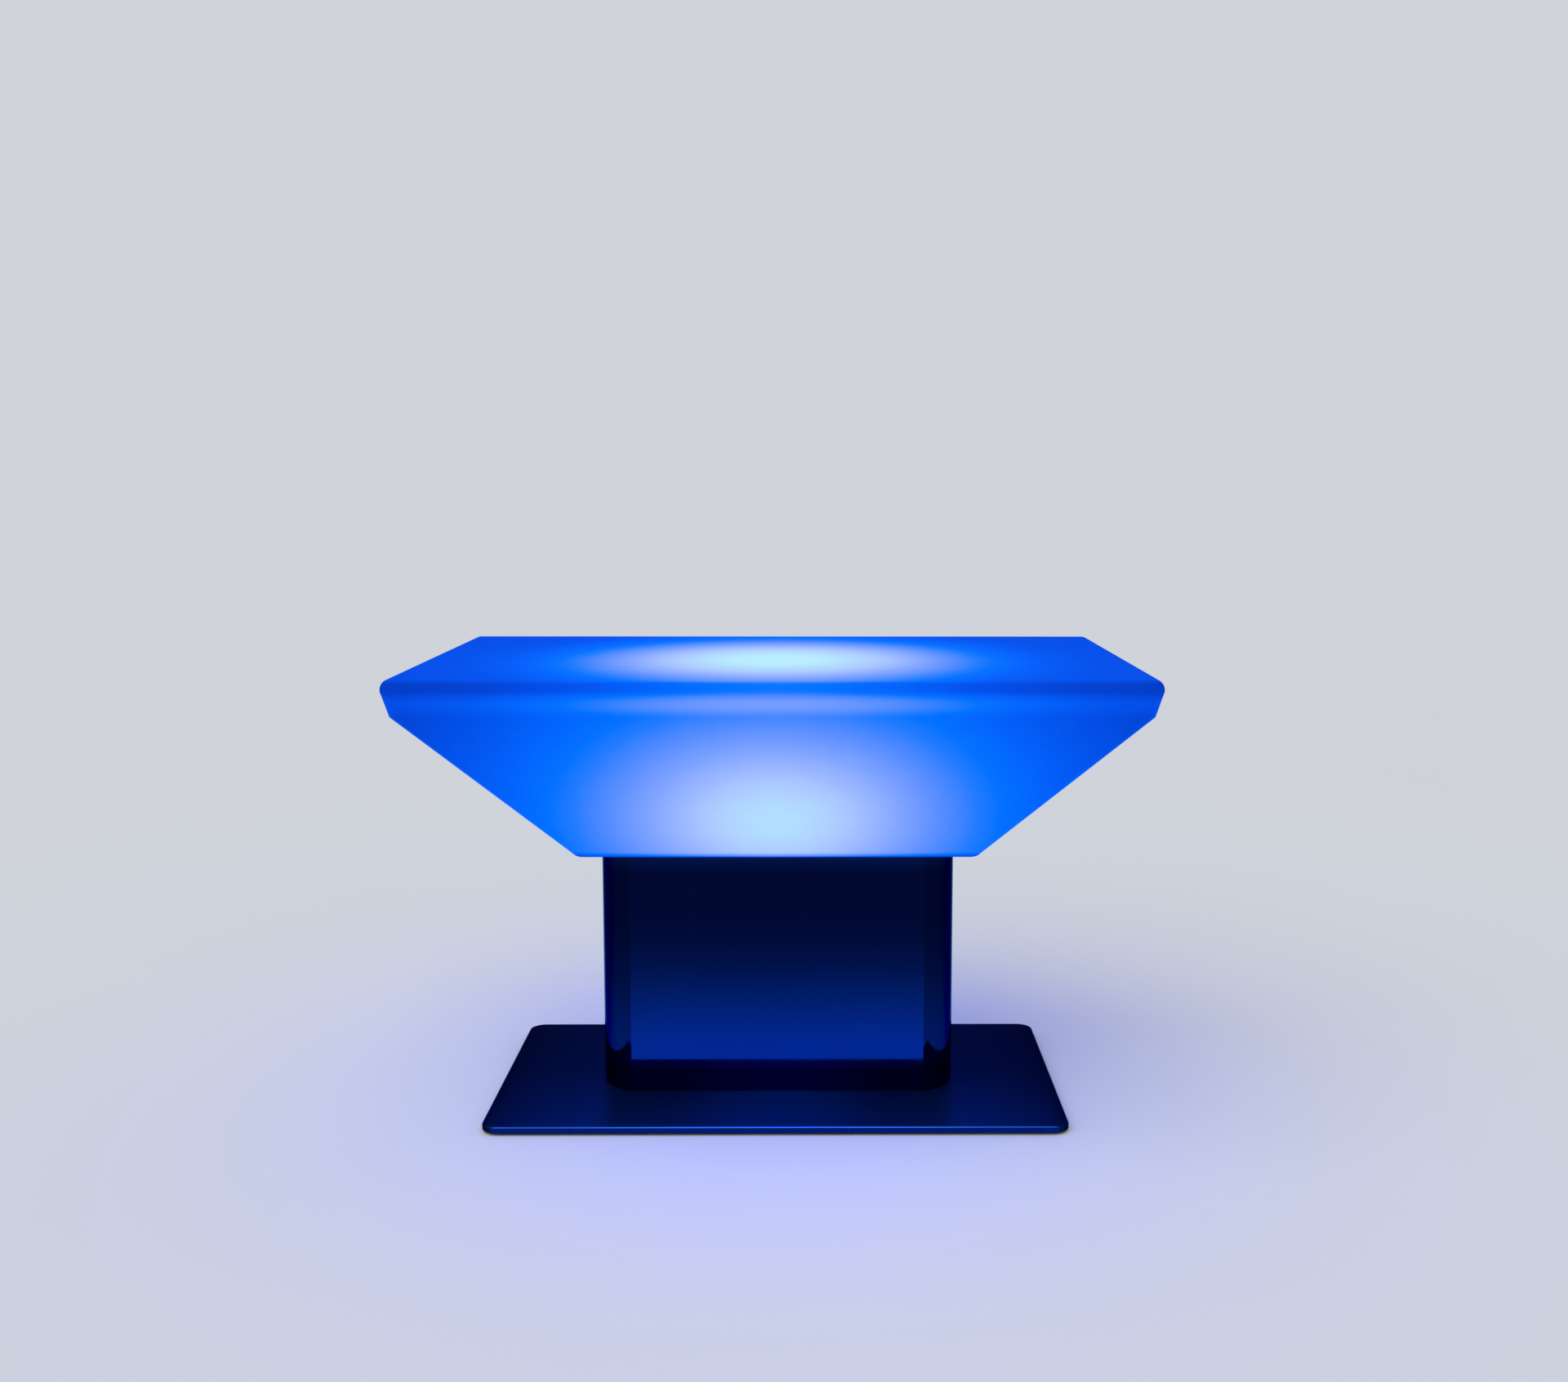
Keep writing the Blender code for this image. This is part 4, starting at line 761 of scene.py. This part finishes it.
def polished_steel(low, high):
    """Mirror-polished stainless, painted reflection and shade, faint upright lines, soft smudges.

    The blue share, a painted reflection of the glowing floor, is (1 - rise)^2 up the column, so
    that painted shade is darkest under the head and the blue clears towards the foot. It is less on
    the bent corners, as painted shade, and in the low band, as a painted reflection of the dark
    plate, and a little more right under the head, as a painted glow.
    """
    material, place = new_finish("polished_steel")
    x, _, z = place.xyz()
    crease = high.x - COLUMN_CORNER_REACH
    # Painted shade on the bent corners
    bent = abs(x).rise(crease - BEND_BLEND, crease + BEND_BLEND)
    # Painted reflection of the dark plate, dimming a low band over the foot
    foot = 0.3 + 0.7 * z.rise(low.z + FOOT_PAINTED_REFLECTION[0], low.z + FOOT_PAINTED_REFLECTION[1])
    # Painted reflection of the glowing floor: its blue clears towards the foot, and painted shade
    # is darkest under the head
    clear = (1 - z.rise(low.z + COLUMN_PAINTED_REFLECTION[0], high.z - COLUMN_PAINTED_REFLECTION[1])) ** 2
    # Less painted reflection on the corners and over the foot, and a painted glow right under the
    # head
    clear = clear * (1 - 0.4 * bent) * foot + 0.15 * z.rise(high.z - HEAD_LIGHT, high.z)
    lines = place.noise(400, 3, 0.6, (1, 1, 0.02))
    smudge = place.noise(7, 4, 0.55)
    waves = place.noise(3, 1, 0.5, (1, 1, 0.5))
    # The dark navy of the painted shade, then the blue of the painted reflection
    painted_shade = smudge.mix((0.0004, 0.0036, 0.038), (0.0008, 0.0050, 0.047))
    blue = smudge.mix((0.0008, 0.037, 0.300), (0.0015, 0.046, 0.350))
    close_finish(place, {
        # The bent corners darken further with painted shade
        "Base Color": (0.25 * bent).mix(clear.mix(painted_shade, blue), (0.0001, 0.0008, 0.006)),
        "Metallic": 1.0, "Specular Tint": (0.18, 0.38, 0.60),
        "Roughness": 0.045 + 0.030 * lines + 0.050 * smudge.rise(0.50, 0.85),
        "Normal": (lines * 0.02 + waves).bump(0.05, 0.0004)})
    return material


def satin_steel(low, high):
    """Plate steel, brushed along its length, with painted reflection and shade: brighter side faces
    and a thin painted glint.

    The painted brightness of the flat face is (0.25 + 0.70 * front^2) * (7.2 * distance from the
    end)^0.4: painted light at the front and painted shade at the ends. It is dimmed before and
    behind the column by a painted reflection of it, with a painted highlight streak along its
    middle. The glint follows the rounded top edge.
    """
    material, place = new_finish("satin_steel")
    brush = place.noise(260, 4, 0.65, (0.03, 1, 1))
    cloud = place.noise(4, 3, 0.5)
    x, y, z = place.xyz()
    from_end = high.x - abs(x)
    # Painted reflection: the side faces are brighter
    side = 1 - from_end.least(high.y - abs(y)).rise(*SIDE_FACE)
    # Painted glint along the rounded top edge, dimmer towards the ends
    line = z.rise(high.z - PAINTED_GLINT_LINE[0], high.z - PAINTED_GLINT_LINE[1])
    painted_glint = side * line * (1 - 0.45 * abs(x).rise(*PAINTED_GLINT_MIDDLE))
    # Painted light and shade on the flat face: brighter at the front, darker at the ends and before
    # and behind the column
    front = ((high.y - y) / (high.y - low.y)).clip()
    level = (0.25 + 0.70 * front * front) * (7.2 * from_end).clip() ** 0.4
    level = level * (0.75 + 0.25 * abs(x).rise(*COLUMN_SHADE)) * (0.85 + 0.2 * brush + 0.1 * cloud)
    tone = level.mix((0.0001, 0.0008, 0.004), (0.0026, 0.0315, 0.155))
    # Painted highlight streak along the middle
    flat = (0.6 - 0.6 * abs(x).rise(*PAINTED_STREAK)).mix(tone, (0.0012, 0.042, 0.250))
    edged = side.mix(flat, (0.0020, 0.018, 0.165))
    close_finish(place, {
        "Base Color": painted_glint.mix(edged, (0.022, 0.125, 0.500)), "Metallic": 0.7,
        "Specular IOR Level": 0.0, "Specular Tint": (0.32, 0.36, 0.55),
        "Roughness": 0.24 + 0.10 * brush + 0.08 * cloud - 0.14 * painted_glint,
        "Normal": brush.bump(0.10, 0.0002)})
    return material


# Rear controls: profiles of (radius, distance out of the column's rear face)

def rear_face():
    """Where the column's rear face lies along Y."""
    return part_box("column_sleeve")[1].y


def control_sizes(node):
    """A control's largest radius, and how far its back and its front lie out of the rear face."""
    low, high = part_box(node)
    return (high.x - low.x) / 2, low.y - rear_face(), high.y - rear_face()


def turned_control(name, node, profile):
    """A control turned from its profile, about the axis of its solid."""
    axis = mid(node)
    return shell(name, [to_rear(turned(profile), axis.x, rear_face(), axis.z)])


def make_collar():
    """The button's flanged collar, with the lip inside that the spring stands on."""
    flange, back, face = control_sizes("button_bushing")
    lip_back = -COLLAR_LIP_DEPTH - COLLAR_LIP_THICKNESS
    rim = fillet_arc((flange, 0), (flange, face), (0, face), COLLAR_RIM_RADIUS, CONTROL_RIM_STEPS)
    mouth = fillet_arc((flange, face), (COLLAR_CAP_ROOM, face), (COLLAR_CAP_ROOM, 0),
                       COLLAR_MOUTH_RADIUS, CONTROL_MOUTH_STEPS)
    profile = np.concatenate([
        [(COLLAR_BARREL_RADIUS, back), (COLLAR_BARREL_RADIUS, CONTROL_GAP), (flange, CONTROL_GAP)],
        rim, mouth,
        [(COLLAR_CAP_ROOM, -COLLAR_LIP_DEPTH), (COLLAR_STEM_ROOM, -COLLAR_LIP_DEPTH),
         (COLLAR_STEM_ROOM, lip_back), (COLLAR_CLIP_ROOM, lip_back),
         (COLLAR_CLIP_ROOM, back), (COLLAR_BARREL_RADIUS, back)]])
    steel = turned_steel("collar_steel", mid("button_bushing"),
                         (0.16, 0.18, 0.25), (0.24, 0.26, 0.34))
    place_piece(turned_control("button_collar", "button_bushing", profile), steel,
                ["button_bushing"])


def make_button():
    """The button's dished cap and its stem, with the groove that the retaining clip sits in.

    The dish sinks by depth * (1 - share^2), with a share of 1 at its rim and 0 in its middle.
    """
    radius, tail, crown = control_sizes("power_button")
    share = np.linspace(1, 0, DISH_STEPS + 1)
    shoulder = fillet_arc((radius, 0), (radius, crown), (0, crown), CAP_SHOULDER_RADIUS,
                          CONTROL_RIM_STEPS)
    dish = np.stack([(radius - CAP_RIM_BREADTH) * share, crown - CAP_DISH * (1 - share ** 2)], 1)
    profile = np.concatenate([
        [(0, tail), (STEM_RADIUS, tail),
         (STEM_RADIUS, -STEM_GROOVE[1]), (STEM_GROOVE_RADIUS, -STEM_GROOVE[1]),
         (STEM_GROOVE_RADIUS, -STEM_GROOVE[0]), (STEM_RADIUS, -STEM_GROOVE[0]),
         (STEM_RADIUS, crown - CAP_DEPTH), (radius, crown - CAP_DEPTH)],
        shoulder, dish])
    steel = turned_steel("brushed_button", mid("power_button"),
                         (0.42, 0.44, 0.50), (0.58, 0.60, 0.66))
    place_piece(turned_control("button_cap", "power_button", profile), steel,
                ["power_button"], "push_button")


def make_spring():
    """The coil spring under the button's cap.

    The wire's middle runs along (R cos t, R sin t, height(t)), and its skin lies a wire radius
    away, along cos a * outwards + sin a * upwards. The height rises evenly with a share of smooth
    step, so that both end turns close up.
    """
    low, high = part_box("button_spring")
    centre = mid("button_spring")
    press = next(joint for joint in frame["joints"] if joint["name"] == "button_press")
    travel = press["range_m"][1]
    wire = SPRING_WIRE_RADIUS
    coil = (high.x - low.x) / 2 - wire
    share = np.linspace(0, 1, SPRING_TURNS * SMALL_ROUND_STEPS + 1)[:, None]
    turn = share * SPRING_TURNS * 2 * math.pi
    rise = blend(share, smooth_step(share, 0, 1), SPRING_END_SHARE)
    height = wire + (high.y - low.y - 2 * wire) * rise
    around = np.arange(WIRE_STEPS)[None] * 2 * math.pi / WIRE_STEPS
    reach = coil + wire * np.cos(around)
    skin = np.stack([reach * np.cos(turn), reach * np.sin(turn), height + wire * np.sin(around)],
                    2)
    first, last = (np.broadcast_to(skin[row].mean(0), skin[:1].shape) for row in (0, -1))
    coils = np.concatenate([first, skin, last])
    piece = shell("return_spring", [to_rear(coils, centre.x, low.y, centre.z)])
    steel = grained_metal("spring_wire", (0.42, 0.43, 0.44), (0.62, 0.62, 0.61), 0.34, 900)
    place_piece(piece, steel, ["button_spring"])
    1 - travel / (high.y - low.y)
    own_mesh(piece)


def make_inlet():
    """The charging inlet: a flanged cup with a pin in its middle."""
    flange, back, face = control_sizes("charge_socket")
    floor = face - INLET_CUP_DEPTH
    pin_top = floor + PIN_HEIGHT
    tip = fillet_arc((0, pin_top), (PIN_RADIUS, pin_top), (PIN_RADIUS, floor), PIN_TIP_RADIUS,
                     PIN_TIP_STEPS)
    mouth = fillet_arc((INLET_CUP_RADIUS, 0), (INLET_CUP_RADIUS, face), (flange, face),
                       INLET_MOUTH_RADIUS, CONTROL_MOUTH_STEPS)
    rim = fillet_arc((0, face), (flange, face), (flange, 0), INLET_RIM_RADIUS, CONTROL_RIM_STEPS)
    profile = np.concatenate([
        [(0, pin_top)], tip, [(PIN_RADIUS, floor), (INLET_CUP_RADIUS, floor)], mouth, rim,
        [(flange, CONTROL_GAP), (INLET_BARREL_RADIUS, CONTROL_GAP), (INLET_BARREL_RADIUS, back),
         (0, back)]])
    place_piece(turned_control("inlet_cup", "charge_socket", profile), black_plastic(),
                ["charge_socket"])


def turned_steel(name, centre, dark, light):
    """Steel faced on a lathe: fine rings round an axis that points to the rear."""
    material, place = new_finish(name)
    moved = place.node("Mapping", {"vector_type": "POINT"},
                       {"Vector": place, "Location": (-centre.x, 0, -centre.z)})
    x, _, z = moved.xyz()
    tool = ((x * x + z * z) ** 0.5 * TOOL_RINGS).sine()
    worn = place.noise(600, 3, 0.6)
    close_finish(place, {
        "Base Color": worn.mix(dark, light), "Metallic": 1.0,
        "Roughness": 0.20 + 0.06 * tool + 0.08 * worn, "Normal": tool.bump(0.10, 0.00003)})
    return material


# Finishes that most of the solids share

def grained_metal(name, dark, light, roughness, scale, stretch=(1, 1, 1), bump=0.0001):
    """A metal whose colour, gloss and surface follow one stretched grain, with broad clouding."""
    material, place = new_finish(name)
    grain = place.noise(scale, 4, 0.65, stretch)
    cloud = place.noise(scale / 12, 2, 0.5)
    tone = grain * 0.6 + cloud * 0.4
    close_finish(place, {
        "Base Color": tone.mix(dark, light), "Metallic": 1.0,
        "Roughness": roughness - 0.08 + 0.16 * tone, "Normal": grain.bump(0.25, bump)})
    return material


def moulded(name, dark, light, roughness, scale, bump=0.0001):
    """A plain moulded surface with fine grain and a soft change of colour."""
    material, place = new_finish(name)
    grain = place.noise(scale, 3, 0.6)
    cloud = place.noise(scale / 20, 2, 0.5)
    close_finish(place, {
        "Base Color": cloud.mix(dark, light),
        "Roughness": roughness - 0.06 + 0.12 * grain, "Normal": grain.bump(0.3, bump)})
    return material


def black_rubber():
    return moulded("black_rubber", (0.010, 0.010, 0.011), (0.020, 0.020, 0.022), 0.75, 700)


def black_plastic():
    return moulded("black_plastic", (0.012, 0.012, 0.014), (0.022, 0.022, 0.026), 0.42, 900,
                   0.00005)


def opal_plastic():
    """The milky cover over the chips, brightest over its middle."""
    _, place = new_finish("opal_plastic")
    cloud = place.noise(30, 2, 0.5)
    x, y, _ = place.xyz()
    far = ((x * x + y * y) ** 0.5).rise(0, DOME_FADE)
    close_finish(place, {
        "Base Color": cloud.mix((0.62, 0.68, 0.78), (0.70, 0.76, 0.86)), "Roughness": 0.4,
        "Emission Color": far.mix((0.50, 0.80, 1.0), (0.05, 0.30, 1.0)),
        "Emission Strength": 1.0})


def circuit(name, mask_colour, trace_colour, pad_colour):
    """A printed circuit board: solder mask with a mesh of traces and round pads."""
    _, place = new_finish(name)
    trace = place.node("TexBrick", {"offset": 0.5},
                       {"Vector": place, "Scale": 220, "Mortar Size": 0.06, "Mortar Smooth": 0.3},
                       "Fac")
    pads = 1 - place.cells(240).rise(0.10, 0.22)
    close_finish(place, {
        "Base Color": pads.mix(trace.mix(mask_colour, trace_colour), pad_colour),
        "Roughness": 0.34 - 0.1 * pads, "Normal": (trace + pads).bump(0.3, 0.00005)})


def foam():
    """Open-cell foam: painted shade darkens the pores between the paler walls."""
    _, place = new_finish("grey_foam")
    pores = place.cells(900)
    close_finish(place, {
        "Base Color": pores.rise(0.1, 0.6).mix((0.03, 0.03, 0.034), (0.12, 0.12, 0.13)),
        "Roughness": 0.9, "Normal": pores.bump(0.8, 0.0006)})


def shrink_wrap():
    """The pack's shrunk film: deep blue with fine wrinkles."""
    _, place = new_finish("pack_wrap")
    wrinkle = place.noise(90, 4, 0.6, (1, 1, 0.25))
    close_finish(place, {
        "Base Color": wrinkle.mix((0.010, 0.040, 0.150), (0.020, 0.075, 0.260)),
        "Roughness": 0.25 + 0.15 * wrinkle, "Normal": wrinkle.bump(0.4, 0.0006)})


def dress_solids():
    """Give every solid that is shown as it is the finish of its real material."""
    grained_metal("mill_steel", (0.20, 0.20, 0.21), (0.36, 0.36, 0.37), 0.5, 160, (0.2, 1, 1))
    grained_metal("zinc_steel", (0.46, 0.47, 0.47), (0.66, 0.66, 0.64), 0.38, 700)
    grained_metal("cast_aluminium", (0.50, 0.51, 0.52), (0.72, 0.73, 0.74), 0.5, 420, bump=0.0003)
    grained_metal("brass", (0.58, 0.40, 0.14), (0.76, 0.56, 0.24), 0.35, 600)
    moulded("black_cable", (0.010, 0.010, 0.012), (0.018, 0.018, 0.020), 0.55, 500)
    circuit("white_board", (0.74, 0.76, 0.76), (0.62, 0.64, 0.64), (0.85, 0.74, 0.30))
    circuit("green_board", (0.010, 0.110, 0.040), (0.030, 0.190, 0.080), (0.60, 0.56, 0.42))
    opal_plastic()
    foam()
    shrink_wrap()
    for node in frame["nodes"].values():
        for slot in node.material_slots:
            slot.material = finishes[slot.material.name.split(".")[0]]


# Floor, light and camera

def make_stage():
    """A plain pale floor that runs out to a background of its own tone."""
    across = np.linspace(-FLOOR_REACH, FLOOR_REACH, FLOOR_STEPS + 1)
    x, y = np.meshgrid(across, across)
    grid = np.stack([x, y, np.zeros_like(x)], -1)
    mesh = bpy.data.meshes.new("studio_floor")
    mesh.from_pydata(grid.reshape(-1, 3).tolist(), [], quads(*x.shape, False).tolist())
    floor = bpy.data.objects.new("studio_floor", mesh)
    bpy.context.scene.collection.objects.link(floor)
    material, place = new_finish("studio_floor")
    cloud = place.noise(1.5, 2, 0.5)
    close_finish(place, {
        "Base Color": cloud.mix([tone - FLOOR_CLOUD for tone in FLOOR_TONE],
                                [tone + FLOOR_CLOUD for tone in FLOOR_TONE]),
        "Roughness": 0.8, "Specular IOR Level": 0.0})
    mesh.materials.append(material)


def make_light():
    """An even pale surround and one broad soft sun, which light a level face at about 1."""
    world = bpy.data.worlds.new("studio")
    bpy.context.scene.world = world
    seen = empty_tree(world).node("LightPath", {}, {}, "Is Camera Ray")
    shown = (seen + seen.also("Is Glossy Ray") + seen.also("Is Transmission Ray")).clip()
    colour = shown.mix(SURROUND_TONE, [tone * BACKGROUND_SHARE for tone in FLOOR_TONE])
    back = shown.node("Background", {}, {"Color": colour, "Strength": 1.0})
    back.node("OutputWorld", {}, {"Surface": back})
    sun = bpy.data.lights.new("soft_sun", "SUN")
    sun.energy = SUN_STRENGTH
    sun.angle = SUN_BREADTH
    lamp = bpy.data.objects.new("soft_sun", sun)
    lamp.rotation_euler = SUN_TURN
    bpy.context.scene.collection.objects.link(lamp)


def make_camera():
    """The photograph's camera, from its place, pitch, yaw and roll."""
    forward = Vector((math.sin(CAMERA_YAW) * math.cos(CAMERA_PITCH),
                      math.cos(CAMERA_YAW) * math.cos(CAMERA_PITCH), -math.sin(CAMERA_PITCH)))
    level = Vector((math.cos(CAMERA_YAW), -math.sin(CAMERA_YAW), 0))
    upright = level.cross(forward)
    right = math.cos(CAMERA_ROLL) * level + math.sin(CAMERA_ROLL) * upright
    up = math.cos(CAMERA_ROLL) * upright - math.sin(CAMERA_ROLL) * level
    data = bpy.data.cameras.new("camera")
    data.sensor_width = SENSOR_WIDTH
    data.lens = FOCAL_PIXELS * SENSOR_WIDTH / PHOTO_WIDTH
    data.shift_x, data.shift_y = (pixels / PHOTO_WIDTH for pixels in CAMERA_SHIFT)
    camera = bpy.data.objects.new("camera", data)
    turn = Matrix((right, up, -forward)).transposed()
    camera.matrix_world = Matrix.Translation(CAMERA_PLACE) @ turn.to_4x4()
    bpy.context.scene.collection.objects.link(camera)
    bpy.context.scene.camera = camera


make_camera()
make_glowing_top()
make_column()
make_plate()
make_glides()
make_collar()
make_button()
make_spring()
make_inlet()
dress_solids()
make_stage()
make_light()
bpy.context.scene.view_settings.view_transform = "Standard"
